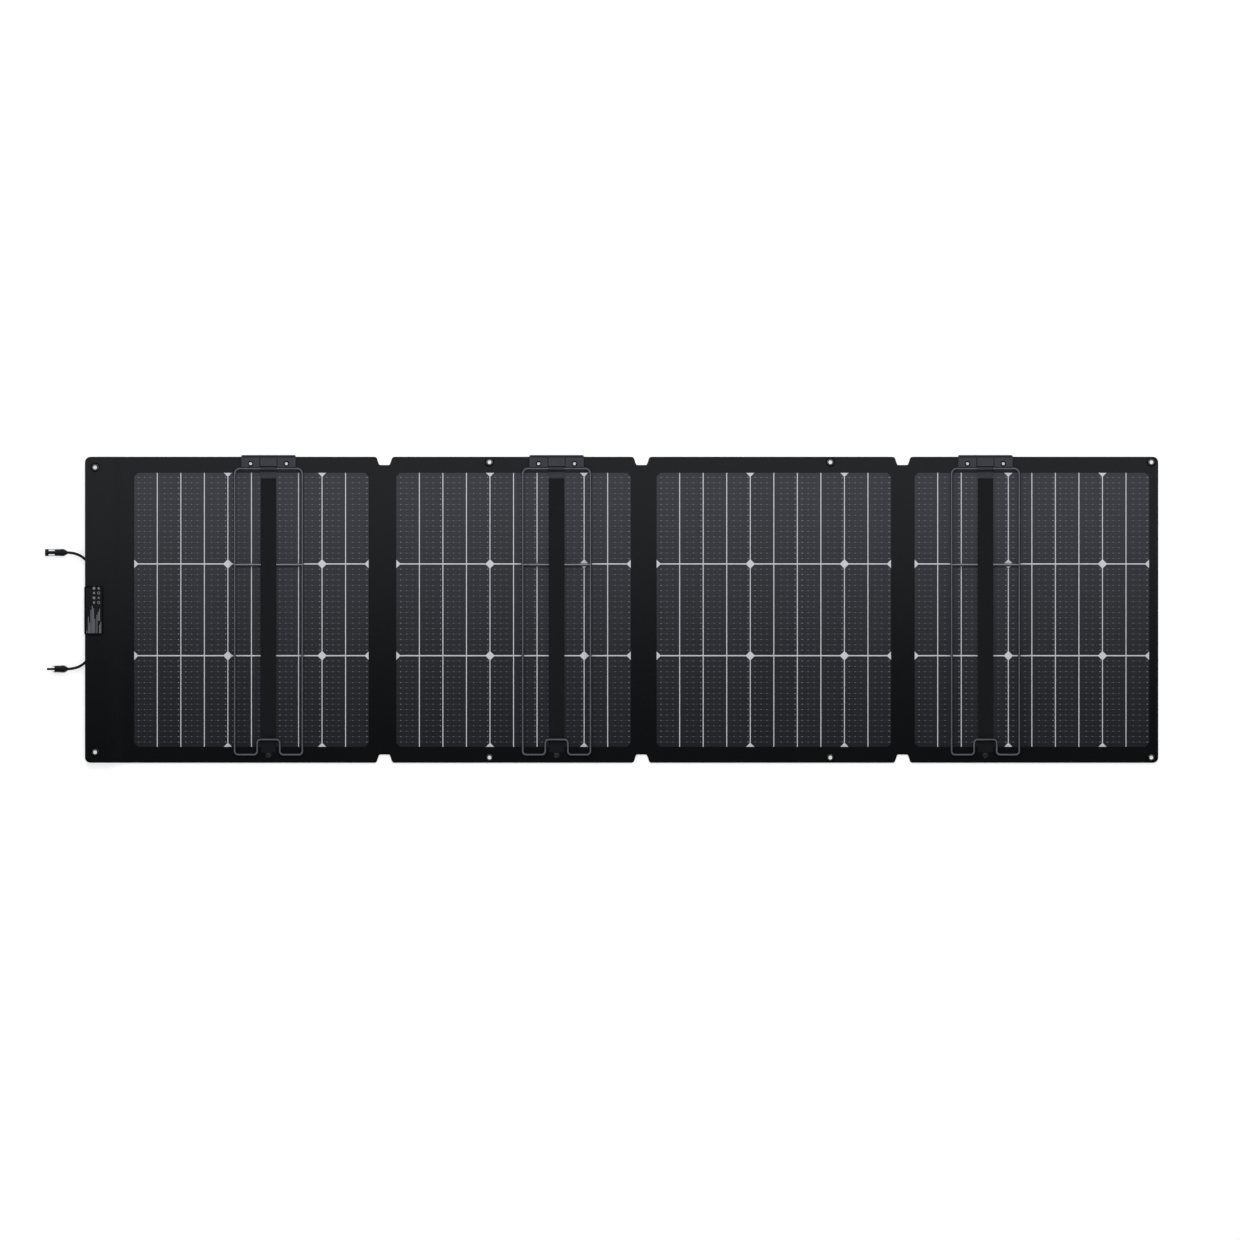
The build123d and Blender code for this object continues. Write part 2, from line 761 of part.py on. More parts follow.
def gland(side):
    """Strain relief in one end wall of the tray, with a tapered mouth."""
    z = lifted_bottom / 2
    end = side * box_length / 2
    inner = end - side * (box_wall + gasket_width)
    flange = inner - side * gland_flange_thickness
    shoulder = end + side * gland_flange_thickness
    mouth = end + side * gland_length
    neck = bar_y(0, *sorted((inner, end)), z, gland_neck_radius)
    back = bar_y(0, *sorted((flange, inner)), z, gland_radius - 4 * fit_gap)
    back &= slab(-far, far, -far, far, box_wall + fit_gap, lifted_bottom)
    collar = bar_y(0, *sorted((end, shoulder)), z, gland_radius)
    taper = Cone(gland_radius - 4 * fit_gap, gland_mouth_radius, gland_length - gland_flange_thickness)
    cone = Pos(0, (shoulder + mouth) / 2, z) * Rot(-90 * side, 0, 0) * taper
    return Pos(box_middle_x, box_middle_y, 0) * (neck + back + collar + cone)


# ---------------------------------------------------------------- leads and connectors

def route(steps, side):
    """Points of a lead's route, from steps that start at the mouth of the gland on one side."""
    mouth = box_middle_y + side * (box_length / 2 + gland_length)
    middle = lifted_bottom / 2
    return [(box_middle_x + x, mouth + side * y, middle + z) for x, y, z in steps]


def turn_radii(name, points):
    """Radius of every bend of a route, as large as its two runs allow, and a line that says so."""
    radii = []
    for a, b, c in zip(points, points[1:], points[2:]):
        first = Vector(b) - Vector(a)
        second = Vector(c) - Vector(b)
        half_turn = math.radians(first.get_angle(second)) / 2
        radii.append(turn_share * min(first.length, second.length) / math.tan(half_turn))
    least = least_turn * lead_diameter
    print(name, "bend radii", [round(r, 1) for r in radii], "least allowed", least)
    return radii


def lead(name, points):
    """Round lead along its route."""
    path = FilletPolyline(points, radius=turn_radii(name, points))
    section = Plane(origin=path @ 0, z_dir=path % 0) * Circle(lead_diameter / 2)
    tube = sweep(section, path=path)
    share = tube.volume / (path.length * math.pi * lead_diameter**2 / 4)
    print(name, "length", round(path.length, 1), "volume over expected", round(share, 4))
    return tube


def connector_nut(tail_x, y, z):
    """Ribbed rear nut with a tapered tail. It points away from the sheet."""
    shoulder = tail_x - connector_taper
    front = tail_x - connector_nut_length
    body = taper_x(shoulder, connector_radius, tail_x, connector_tail_radius, y, z)
    body += bar_x(front, shoulder, y, z, connector_radius)
    for index in range(connector_ribs):
        angle = 360 * index / connector_ribs
        groove = Pos((front + shoulder) / 2, y, z) * Rot(angle, 0, 0)
        size = (shoulder - front - 2 * connector_rib_end, connector_rib_gap, 2 * connector_rib_depth)
        groove = groove * Pos(0, 0, connector_radius) * Box(*size)
        body -= groove
    room = socket_contact_radius + connector_contact_room
    return body - bar_x(front - 1, front + contact_inset, y, z, room)


def socket_body(x, y, z):
    """Socket housing: body, core with two side windows, and a front collar with the bore."""
    window = x - socket_body_length
    collar = window - socket_window_length
    mouth = collar - socket_collar_length
    body = bar_x(window, x, y, z, connector_waist_radius)
    body += bar_x(collar, window, y, z, socket_core_radius)
    body += bar_x(mouth, collar, y, z, connector_radius)
    for side in (-1, 1):
        half = socket_arm_thickness / 2
        wide = socket_arm_width / 2
        arm = y + side * (connector_waist_radius - half - socket_arm_inset)
        body += slab(collar - 1, window + 1, arm - half, arm + half, z - wide, z + wide)
    body -= bar_x(mouth - 1, mouth + socket_bore_depth, y, z, socket_bore_radius)
    return body - bar_x(mouth, x + 1, y, z, socket_contact_radius + fit_gap)


def socket_contact(x, y, z):
    """Sprung tube contact behind the bore."""
    mouth = x - socket_body_length - socket_window_length - socket_collar_length
    low = mouth + socket_bore_depth + contact_inset
    tube = bar_x(low, x - fit_gap, y, z, socket_contact_radius)
    return tube - bar_x(low - 1, low + contact_length / 4, y, z, contact_radius)


def plug_body(x, y, z):
    """Plug housing with an insulated nose and two latch prongs."""
    front = x - plug_body_length
    body = bar_x(front, x, y, z, connector_waist_radius)
    body += bar_x(front - plug_nose_length, front, y, z, plug_nose_radius)
    reach, thick, wide = plug_prong
    for side in (-1, 1):
        near = y + side * plug_prong_offset - thick / 2
        body += slab(front - reach, front + 1, near, near + thick, z - wide / 2, z + wide / 2)
    return body - bar_x(front - plug_nose_length - 1, x + 1, y, z, contact_radius + fit_gap)


def plug_contact(x, y, z):
    """Solid pin down the middle of the nose."""
    tip = x - plug_body_length - plug_nose_length + contact_inset
    return bar_x(tip, x - fit_gap, y, z, contact_radius)


# ---------------------------------------------------------------- nodes

sheet_plan = sheet_outline()

for panel in range(panel_count):
    name = f"panel_{panel + 1}"
    nodes[f"{name}_border"] = border(panel)
    nodes[f"{name}_cells"] = solids_of([extrude(strip, cell_top) for strip in cell_strips(panel)])
    nodes[f"{name}_spacer"] = spacer(panel)
    nodes[f"{name}_eyelets"] = eyelets(panel)

for index in range(len(fold_x)):
    nodes[f"fold_strip_{index + 1}{index + 2}"] = fold_strip(index)

for name, x in stand_x.items():
    nodes[f"{name}_wire"] = stand_wire(x)
    nodes[f"{name}_crossbar"] = stand_crossbar(x)
    nodes[f"{name}_strap"] = stand_strap(x)
    nodes[f"{name}_snap_cap"] = snap_cap(x)
    nodes[f"{name}_snap_stud"] = snap_stud(x)
    nodes[f"{name}_hinge_base"] = hinge_base(x)
    nodes[f"{name}_hinge_cover"] = hinge_cover(x)
    nodes[f"{name}_hinge_screws"] = hinge_screws(x)

nodes["box_lower_shell"] = box_lower_shell()
nodes["box_gasket"] = box_gasket()
nodes["box_upper_shell"] = box_upper_shell()
nodes["box_label"] = box_label()
nodes["box_screws"] = box_screws()
nodes["circuit_board"] = circuit_board()
nodes["bypass_diodes"] = bypass_diodes()
nodes["lead_glands"] = solids_of([gland(1), gland(-1)])
nodes["output_ribbons"] = solids_of(ribbons())

socket_route = route(socket_steps, 1)
tail_x, tail_y, tail_z = socket_route[-1]
nodes["socket_nut"] = connector_nut(tail_x, tail_y, tail_z)
nodes["socket_body"] = socket_body(tail_x - connector_nut_length, tail_y, tail_z)
nodes["socket_contact"] = socket_contact(tail_x - connector_nut_length, tail_y, tail_z)
nodes["socket_lead"] = lead("socket_lead", socket_route) - nodes["socket_nut"]

plug_route = route(plug_steps, -1)
tail_x, tail_y, tail_z = plug_route[-1]
nodes["plug_nut"] = connector_nut(tail_x, tail_y, tail_z)
nodes["plug_body"] = plug_body(tail_x - connector_nut_length, tail_y, tail_z)
nodes["plug_contact"] = plug_contact(tail_x - connector_nut_length, tail_y, tail_z)
nodes["plug_lead"] = lead("plug_lead", plug_route) - nodes["plug_nut"]

print("sheet", round(sheet_length, 2), "by", round(sheet_height, 2))
print("folds at", [round(x, 2) for x in fold_x])
print("stands at", {name: round(x, 2) for name, x in stand_x.items()})
print("stand axis", round(axis_y, 2), round(axis_z, 2), "block top", round(block_top, 2))

os.makedirs("parts", exist_ok=True)
for name, shape in nodes.items():
    export_step(shape, f"parts/{name}.step")
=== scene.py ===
"""Folding solar sheet, stand side up: finishes, webbing, fold strips, leads, label print and studio."""

import json
import logging
import math
from dataclasses import dataclass, field
from enum import Enum
from typing import Any, Iterable

import bmesh
import bpy
from mathutils import Matrix, Vector


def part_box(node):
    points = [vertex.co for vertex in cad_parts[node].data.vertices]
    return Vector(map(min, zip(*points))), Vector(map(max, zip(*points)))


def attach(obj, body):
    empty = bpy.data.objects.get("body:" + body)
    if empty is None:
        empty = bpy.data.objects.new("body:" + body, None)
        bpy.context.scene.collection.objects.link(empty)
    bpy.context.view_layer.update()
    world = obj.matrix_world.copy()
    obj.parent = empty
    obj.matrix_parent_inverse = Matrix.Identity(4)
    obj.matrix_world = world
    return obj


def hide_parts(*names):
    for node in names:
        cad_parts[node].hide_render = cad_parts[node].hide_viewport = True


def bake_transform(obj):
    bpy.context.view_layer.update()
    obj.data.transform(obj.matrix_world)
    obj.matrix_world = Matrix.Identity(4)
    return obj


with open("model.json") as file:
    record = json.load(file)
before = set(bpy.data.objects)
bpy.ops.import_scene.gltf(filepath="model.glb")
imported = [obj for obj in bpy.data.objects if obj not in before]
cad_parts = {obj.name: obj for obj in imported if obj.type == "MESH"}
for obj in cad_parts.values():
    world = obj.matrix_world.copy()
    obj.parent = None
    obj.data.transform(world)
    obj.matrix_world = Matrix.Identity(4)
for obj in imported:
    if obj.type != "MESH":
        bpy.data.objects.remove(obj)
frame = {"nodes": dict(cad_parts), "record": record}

LOG = logging.getLogger("solar_sheet")
MM = 0.001
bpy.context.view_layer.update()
STRIP_PITCH = 47.3 * MM  # from one silicon strip to the next across a panel
ROW_PITCH = 184.4 * MM  # from one row of cells to the next up a panel
COLOUR_MIX = {"data_type": "RGBA"}
NOISE_SPREAD = {"From Min": 0.3, "From Max": 0.7}  # the range that nearly all of a noise falls in
FULL_TURN = 2 * math.pi
MERGE = 0.001 * MM  # points nearer to each other than this become one
NEAR = 0.01 * MM  # a point this near to an edge is on it
TINY = 1e-9


# ---------------------------------------------------------------- shared helpers


def linear(code: str) -> tuple[float, float, float, float]:
    """Turns an sRGB hex colour into the linear colour that a shader takes.

    Args:
        code: Six hex digits, such as "1A1B1D".

    Returns:
        Linear red, green and blue, and an alpha of 1.
    """
    shades = [int(code[i : i + 2], 16) / 255 for i in (0, 2, 4)]
    bright = [s / 12.92 if s <= 0.04045 else ((s + 0.055) / 1.055) ** 2.4 for s in shades]
    return (*bright, 1.0)


def add_node(
    tree: bpy.types.NodeTree,
    kind: str,
    settings: dict[str, Any] | None = None,
    inputs: dict[Any, Any] | None = None,
) -> bpy.types.Node:
    """Adds a shader node with its settings, its values and its links.

    Args:
        tree: Node tree that gets the node.
        kind: Part of the node's type name after "ShaderNode".
        settings: Properties of the node.
        inputs: Values by input. A node links its first output, and a socket links itself.

    Returns:
        The new node.
    """
    node = tree.nodes.new("ShaderNode" + kind)
    for name, value in (settings or {}).items():
        setattr(node, name, value)
    for name, value in (inputs or {}).items():
        if isinstance(value, bpy.types.Node):
            value = value.outputs[0]
        if isinstance(value, bpy.types.NodeSocket):
            tree.links.new(value, node.inputs[name])
        else:
            node.inputs[name].default_value = value
    return node


def new_surface(
    name: str, constants: dict[str, Any]
) -> tuple[bpy.types.Material, bpy.types.NodeTree, bpy.types.Node]:
    """Starts a material with one Principled shader.

    Args:
        name: Name of the finish.
        constants: Values for the shader's own sockets.

    Returns:
        The material, its node tree and its shader node.
    """
    material = bpy.data.materials.new(name)
    material.use_nodes = True
    tree = material.node_tree
    tree.nodes.clear()
    shader = add_node(tree, "BsdfPrincipled", None, constants)
    add_node(tree, "OutputMaterial", None, {"Surface": shader})
    return material, tree, shader


def finished_object(bm: bmesh.types.BMesh, name: str, material: bpy.types.Material) -> bpy.types.Object:
    """Turns a bmesh into an object at the origin and frees the bmesh.

    Args:
        bm: The shape, with its place in its vertices.
        name: Name of the piece.
        material: Its finish.

    Returns:
        The new object.
    """
    mesh = bpy.data.meshes.new(name)
    bm.to_mesh(mesh)
    bm.free()
    mesh.materials.append(material)
    piece = bpy.data.objects.new(name, mesh)
    bpy.context.scene.collection.objects.link(piece)
    return piece


def add_ring(
    bm: bmesh.types.BMesh, centre: Vector, profile: Iterable[tuple[float, float]], steps: int = 40
) -> None:
    """Spins a profile into a ring about an upright axis.

    Args:
        bm: The shape that gets the ring.
        centre: Where the axis meets the level that the profile's heights start from.
        profile: Radius and height in mm of each point of the closed profile.
        steps: How many parts the ring is spun in.
    """
    verts = [bm.verts.new(centre + Vector((radius, 0, height)) * MM) for radius, height in profile]
    edges = [bm.edges.new(pair) for pair in zip(verts, verts[1:] + verts[:1])]
    bmesh.ops.spin(
        bm, geom=verts + edges, cent=centre, axis=(0, 0, 1), angle=FULL_TURN, steps=steps, use_merge=True
    )
    bmesh.ops.remove_doubles(bm, verts=bm.verts, dist=MERGE)
    bmesh.ops.recalc_face_normals(bm, faces=bm.faces)


# ---------------------------------------------------------------- finishes


@dataclass(frozen=True)
class CoatedCloth:
    """Polyester cloth laminated in matte black film: nearly black, with a dull sheen and a faint weave."""

    name: str = "black_film_laminate"
    dark: str = "070808"
    light: str = "0B0C0C"
    thread: float = 0.9 * MM  # a 600 denier cloth has threads about this wide
    cloudy: float = 70 * MM
    roughness: tuple[float, float] = (0.34, 0.41)
    sealed: float = 0.62  # roughness of the heat-sealed band along both long edges
    seal_start: float = 305.1 * MM  # how far from the sheet's middle that band starts
    weave_share: float = 0.35
    on_cut: bool = False

    def build(self) -> bpy.types.Material:
        """Makes the film. With on_cut, its pattern is laid on the piece's own cut and bends with it.

        Returns:
            The material.
        """
        material, tree, shader = new_surface(self.name, {"Specular IOR Level": 0.38})
        if self.on_cut:
            place = add_node(tree, "UVMap", {"uv_map": "cut"}).outputs[0]
        else:
            place = add_node(tree, "TexCoord").outputs["Object"]
        axes = add_node(tree, "SeparateXYZ", None, {0: place})
        waves = []
        for axis in axes.outputs[:2]:
            turn = add_node(tree, "Math", {"operation": "MULTIPLY"}, {0: axis, 1: math.pi / self.thread})
            waves.append(add_node(tree, "Math", {"operation": "SINE"}, {0: turn}))
        weave = add_node(tree, "Math", {"operation": "MULTIPLY"}, {0: waves[0], 1: waves[1]})
        clouds = add_node(tree, "TexNoise", None, {"Vector": place, "Scale": 1 / self.cloudy, "Detail": 3.0})
        grain_size = 3 * self.thread
        grain = add_node(tree, "TexNoise", None, {"Vector": place, "Scale": 1 / grain_size, "Detail": 2.0})
        shades = {"Factor": clouds, "A": linear(self.dark), "B": linear(self.light)}
        tone = add_node(tree, "Mix", COLOUR_MIX, shades)
        tree.links.new(tone.outputs["Result"], shader.inputs["Base Color"])
        low, high = self.roughness
        spread = {"Value": grain, **NOISE_SPREAD, "To Min": low, "To Max": high}
        rough = add_node(tree, "MapRange", None, spread)
        from_middle = add_node(tree, "Math", {"operation": "ABSOLUTE"}, {0: axes.outputs[1]})
        seal_band_and_shade_rubber = add_node(tree, "Math", {"operation": "GREATER_THAN"}, {0: from_middle, 1: self.seal_start})
        dulled = add_node(tree, "Mix", None, {"Factor": seal_band_and_shade_rubber, "A": rough.outputs[0], "B": self.sealed})
        tree.links.new(dulled.outputs[0], shader.inputs["Roughness"])
        relief = {0: weave, 1: self.weave_share, 2: grain}
        height = add_node(tree, "Math", {"operation": "MULTIPLY_ADD"}, relief)
        bump = add_node(tree, "Bump", None, {"Strength": 0.25, "Distance": 0.05 * MM, "Height": height})
        tree.links.new(bump.outputs[0], shader.inputs["Normal"])
        return material


@dataclass(frozen=True)
class CellFilm:
    """Silicon strips under clear dimpled film: blue-grey, with printed busbars, solder pads and fingers."""

    name: str
    left: float
    bottom: float
    base: str = "17181B"
    tint: str = "1D1E23"
    pad: str = "A0A1A6"
    first_row: float = 9.7 * MM
    row_step: float = 10.87 * MM
    pad_height: float = 1.2 * MM
    pad_width: float = 2.2 * MM
    pad_fade: tuple[float, float] = (0.35, 0.75)  # shares of the pad's height between which it fades out
    busbar: float = 0.7 * MM
    busbar_print: float = 0.1
    finger: float = 1.8 * MM  # real fingers are about 1.2 mm apart, drawn wider so that they show
    finger_print: float = 0.14
    dimple: float = 0.9 * MM
    # columns of solder pads across two strips: place in mm and brightness
    pads: tuple[tuple[float, float], ...] = (
        (8.8, 0.75),
        (20.5, 0.5),
        (32.3, 0.5),
        (60.7, 0.5),
        (73.8, 0.5),
        (88.7, 1.0),
    )

    def build(self) -> bpy.types.Material:
        """Makes the film, with its pattern measured from the corner of one panel's cells.

        Returns:
            The material.
        """
        gloss = {"IOR": 1.55, "Specular IOR Level": 0.82, "Roughness": 0.4}
        material, tree, shader = new_surface(self.name, gloss)
        place = add_node(tree, "TexCoord").outputs["Object"]
        corner = (-self.left, -self.bottom, 0.0)
        laid = add_node(tree, "Mapping", None, {"Vector": place, "Location": corner})
        axes = add_node(tree, "SeparateXYZ", None, {0: laid})
        across, up = axes.outputs[0], axes.outputs[1]
        marks = self.printed_marks(tree, across, up)
        turned = add_node(tree, "Math", {"operation": "MULTIPLY"}, {0: up, 1: 2 * math.pi / self.finger})
        fingers = add_node(tree, "Math", {"operation": "SINE"}, {0: turned})
        number = add_node(tree, "Math", {"operation": "DIVIDE"}, {0: across, 1: STRIP_PITCH})
        column = add_node(tree, "Math", {"operation": "FLOOR"}, {0: number})
        odd = add_node(tree, "TexWhiteNoise", {"noise_dimensions": "1D"}, {"W": column})
        lines = {0: fingers, 1: self.finger_print, 2: odd.outputs[0]}
        shade = add_node(tree, "Math", {"operation": "MULTIPLY_ADD", "use_clamp": True}, lines)
        shades = {"Factor": shade, "A": linear(self.base), "B": linear(self.tint)}
        silicon = add_node(tree, "Mix", COLOUR_MIX, shades)
        prints = {"Factor": marks, "A": silicon.outputs["Result"], "B": linear(self.pad)}
        printed = add_node(tree, "Mix", COLOUR_MIX, prints)
        tree.links.new(printed.outputs["Result"], shader.inputs["Base Color"])
        cells = {"Vector": place, "Scale": 1 / self.dimple}
        dimples = add_node(tree, "TexVoronoi", {"feature": "SMOOTH_F1"}, cells)
        bump = add_node(tree, "Bump", None, {"Strength": 0.12, "Distance": 0.04 * MM, "Height": dimples})
        tree.links.new(bump.outputs[0], shader.inputs["Normal"])
        return material

    def printed_marks(
        self, tree: bpy.types.NodeTree, across: bpy.types.NodeSocket, up: bpy.types.NodeSocket
    ) -> bpy.types.Node:
        """Adds the nodes that draw the busbars and solder pads.

        Args:
            tree: The material's node tree.
            across: Distance from the cells' left side.
            up: Distance from the cells' lower side.

        Returns:
            A node that gives 1 where the print is brightest and 0 where there is none.
        """
        pair = add_node(tree, "Math", {"operation": "MODULO"}, {0: across, 1: 2 * STRIP_PITCH})
        share = add_node(tree, "Math", {"operation": "DIVIDE"}, {0: pair, 1: 2 * STRIP_PITCH})
        columns = add_node(tree, "ValToRGB", None, {0: share})
        self.set_columns(columns.color_ramp)
        in_cell = add_node(tree, "Math", {"operation": "MODULO"}, {0: up, 1: ROW_PITCH})
        shifted = add_node(tree, "Math", {"operation": "SUBTRACT"}, {0: in_cell, 1: self.first_row})
        off_row = add_node(tree, "Math", {"operation": "PINGPONG"}, {0: shifted, 1: self.row_step / 2})
        full, gone = (share_of_pad * self.pad_height for share_of_pad in self.pad_fade)
        fade = {"Value": off_row, "From Min": full, "From Max": gone, "To Min": 1.0, "To Max": 0.0}
        row = add_node(tree, "MapRange", None, fade)
        bar = add_node(tree, "Math", {"operation": "LESS_THAN"}, {0: off_row, 1: self.busbar / 2})
        pads = add_node(tree, "Math", {"operation": "MULTIPLY"}, {0: columns.outputs[0], 1: row})
        drawn = {0: bar, 1: self.busbar_print, 2: pads}
        return add_node(tree, "Math", {"operation": "MULTIPLY_ADD", "use_clamp": True}, drawn)

    def set_columns(self, ramp: bpy.types.ColorRamp) -> None:
        """Sets one bright step for each column of solder pads across two strips.

        Args:
            ramp: The ramp, from 0 to 1 over two strip pitches.
        """
        ramp.interpolation = "CONSTANT"
        ramp.elements.remove(ramp.elements[1])
        ramp.elements[0].color = (0.0, 0.0, 0.0, 1.0)
        for middle, bright in self.pads:
            for side, value in ((-1, bright), (1, 0.0)):
                stop = ramp.elements.new((middle * MM + side * self.pad_width / 2) / (2 * STRIP_PITCH))
                stop.color = (value, value, value, 1.0)


@dataclass(frozen=True)
class Moulded:
    """Injection-moulded or extruded polymer: one colour, an even fine grain, faintly polished patches."""

    name: str
    colour: str
    roughness: float = 0.5
    specular: float = 0.4
    grain: float = 0.6 * MM
    depth: float = 0.03 * MM
    worn: str = ""
    patch: float = 12 * MM
    spread: float = 0.06  # how far the roughness strays to each side

    def build(self) -> bpy.types.Material:
        """Makes the polymer.

        Returns:
            The material.
        """
        material, tree, shader = new_surface(self.name, {"IOR": 1.5, "Specular IOR Level": self.specular})
        place = add_node(tree, "TexCoord").outputs["Object"]
        patches = add_node(tree, "TexNoise", None, {"Vector": place, "Scale": 1 / self.patch, "Detail": 4.0})
        shades = {"Factor": patches, "A": linear(self.colour), "B": linear(self.worn or self.colour)}
        tone = add_node(tree, "Mix", COLOUR_MIX, shades)
        tree.links.new(tone.outputs["Result"], shader.inputs["Base Color"])
        low, high = self.roughness - self.spread, self.roughness + self.spread
        spread = {"Value": patches, **NOISE_SPREAD, "To Min": low, "To Max": high}
        rough = add_node(tree, "MapRange", None, spread)
        tree.links.new(rough.outputs[0], shader.inputs["Roughness"])
        grain = add_node(tree, "TexNoise", None, {"Vector": place, "Scale": 1 / self.grain, "Detail": 1.0})
        bump = add_node(tree, "Bump", None, {"Strength": 0.3, "Distance": self.depth, "Height": grain})
        tree.links.new(bump.outputs[0], shader.inputs["Normal"])
        return material


@dataclass(frozen=True)
class PowderCoat:
    """Black powder coat baked on steel wire: satin, with a grey painted highlight along the side that faces
    up.
    """

    name: str = "powder_coated_wire"
    coat: str = "09090A"
    # grey of the painted highlight along the wire's upper side, and the heights over which it comes in
    painted_highlight: str = "6A6A72"
    highlight_heights: tuple[float, float] = (8.8 * MM, 9.25 * MM)  # on a 5 mm wire whose middle is 7 mm up
    patch: float = 30 * MM
    faintest_highlight: float = 0.8
    roughness: tuple[float, float] = (0.36, 0.48)
    peel: float = 1.2 * MM

    def build(self) -> bpy.types.Material:
        """Makes the coat.

        Returns:
            The material.
        """
        material, tree, shader = new_surface(self.name, {"Specular IOR Level": 0.5})
        place = add_node(tree, "TexCoord").outputs["Object"]
        axes = add_node(tree, "SeparateXYZ", None, {0: place})
        # the painted highlight covers the wire's upper side, weaker in patches
        low, high = self.highlight_heights
        upper_side = add_node(tree, "MapRange", None, {"Value": axes.outputs[2], "From Min": low, "From Max": high})
        patches = add_node(tree, "TexNoise", None, {"Vector": place, "Scale": 1 / self.patch, "Detail": 3.0})
        highlight_strength = {"Value": patches, **NOISE_SPREAD, "To Min": self.faintest_highlight, "To Max": 1.0}
        highlight_patchiness = add_node(tree, "MapRange", None, highlight_strength)
        highlight = add_node(tree, "Math", {"operation": "MULTIPLY"}, {0: upper_side, 1: highlight_patchiness})
        shades = {"Factor": highlight, "A": linear(self.coat), "B": linear(self.painted_highlight)}
        tone = add_node(tree, "Mix", COLOUR_MIX, shades)
        tree.links.new(tone.outputs["Result"], shader.inputs["Base Color"])
        smooth, coarse = self.roughness
        rough = add_node(tree, "MapRange", None, {"Value": patches, "To Min": smooth, "To Max": coarse})
        tree.links.new(rough.outputs[0], shader.inputs["Roughness"])
        ripple = add_node(tree, "TexNoise", None, {"Vector": place, "Scale": 1 / self.peel, "Detail": 1.0})
        bump = add_node(tree, "Bump", None, {"Strength": 0.3, "Distance": 0.01 * MM, "Height": ripple})
        tree.links.new(bump.outputs[0], shader.inputs["Normal"])
        return material


@dataclass(frozen=True)
class Metal:
    """Plated or drawn metal: a clean reflection, dulled in fine streaks from drawing or rolling."""

    name: str
    colour: str
    roughness: float = 0.3
    streak: tuple[float, float, float] = (1.5, 1.5, 1.5)  # spacing of the streaks along each axis, in mm
    spread: tuple[float, float] = (-0.07, 0.09)  # how far the roughness strays, down and up

    def build(self) -> bpy.types.Material:
        """Makes the metal.

        Returns:
            The material.
        """
        material, tree, shader = new_surface(self.name, {"Metallic": 1.0, "Base Color": linear(self.colour)})
        place = add_node(tree, "TexCoord").outputs["Object"]
        scale = tuple(1 / (s * MM) for s in self.streak)
        drawn = add_node(tree, "Mapping", None, {"Vector": place, "Scale": scale})
        streaks = add_node(tree, "TexNoise", None, {"Vector": drawn, "Scale": 1.0, "Detail": 3.0})
        low, high = (self.roughness + stray for stray in self.spread)
        dulled = {"Value": streaks, **NOISE_SPREAD, "To Min": low, "To Max": high}
        rough = add_node(tree, "MapRange", None, dulled)
        tree.links.new(rough.outputs[0], shader.inputs["Roughness"])
        bump = add_node(tree, "Bump", None, {"Strength": 0.15, "Distance": 0.02 * MM, "Height": streaks})
        tree.links.new(bump.outputs[0], shader.inputs["Normal"])
        return material


@dataclass(frozen=True)
class Webbing:
    """Woven black polypropylene webbing: matte, in rows of rounded ribs that step by half each row."""

    name: str = "woven_webbing"
    rib: str = "202122"
    groove: str = "0E0E0F"
    painted_sheen: str = "3A3A3F"
    # the sewn end and the loop on the wire, both painted lighter as a painted highlight: middle along the
    # strap, and half-length
    sheen_runs: tuple[tuple[float, float], ...] = ((8.1 * MM, 6.9 * MM), (22.75 * MM, 3.2 * MM))
    rib_length: float = 3.2 * MM
    rib_width: float = 1.6 * MM
    groove_share: float = 0.18

    def build(self) -> bpy.types.Material:
        """Makes the webbing, laid on its own cut.

        Returns:
            The material.
        """
        material, tree, shader = new_surface(self.name, {"Specular IOR Level": 0.2, "Roughness": 0.72})
        cut = add_node(tree, "UVMap", {"uv_map": "cut"})
        ribs = add_node(
            tree,
            "TexBrick",
            {"offset": 0.5, "offset_frequency": 2, "squash": 1.0},
            {
                "Vector": cut,
                "Color1": linear(self.rib),
                "Color2": linear(self.rib),
                "Mortar": linear(self.groove),
                "Scale": 1.0,
                "Mortar Size": self.groove_share * self.rib_width,
                "Mortar Smooth": 1.0,
                "Brick Width": self.rib_length,
                "Row Height": self.rib_width,
            },
        )
        along = add_node(tree, "SeparateXYZ", None, {0: cut}).outputs[1]
        sewn, loop = (
            add_node(tree, "Math", {"operation": "COMPARE"}, {0: along, 1: middle, 2: half})
            for middle, half in self.sheen_runs
        )
        # adds the painted highlight on the sewn end and on the loop over the wire
        highlight_strength = add_node(tree, "Math", {"operation": "MAXIMUM"}, {0: sewn, 1: loop})
        shades = {"Factor": highlight_strength, "A": ribs.outputs["Color"], "B": linear(self.painted_sheen)}
        lit = add_node(tree, "Mix", {**COLOUR_MIX, "blend_type": "ADD"}, shades)
        tree.links.new(lit.outputs["Result"], shader.inputs["Base Color"])
        weave = {"Strength": 0.6, "Distance": 0.15 * MM, "Height": ribs.outputs["Fac"]}
        bump = add_node(tree, "Bump", {"invert": True}, weave)
        tree.links.new(bump.outputs[0], shader.inputs["Normal"])
        return material


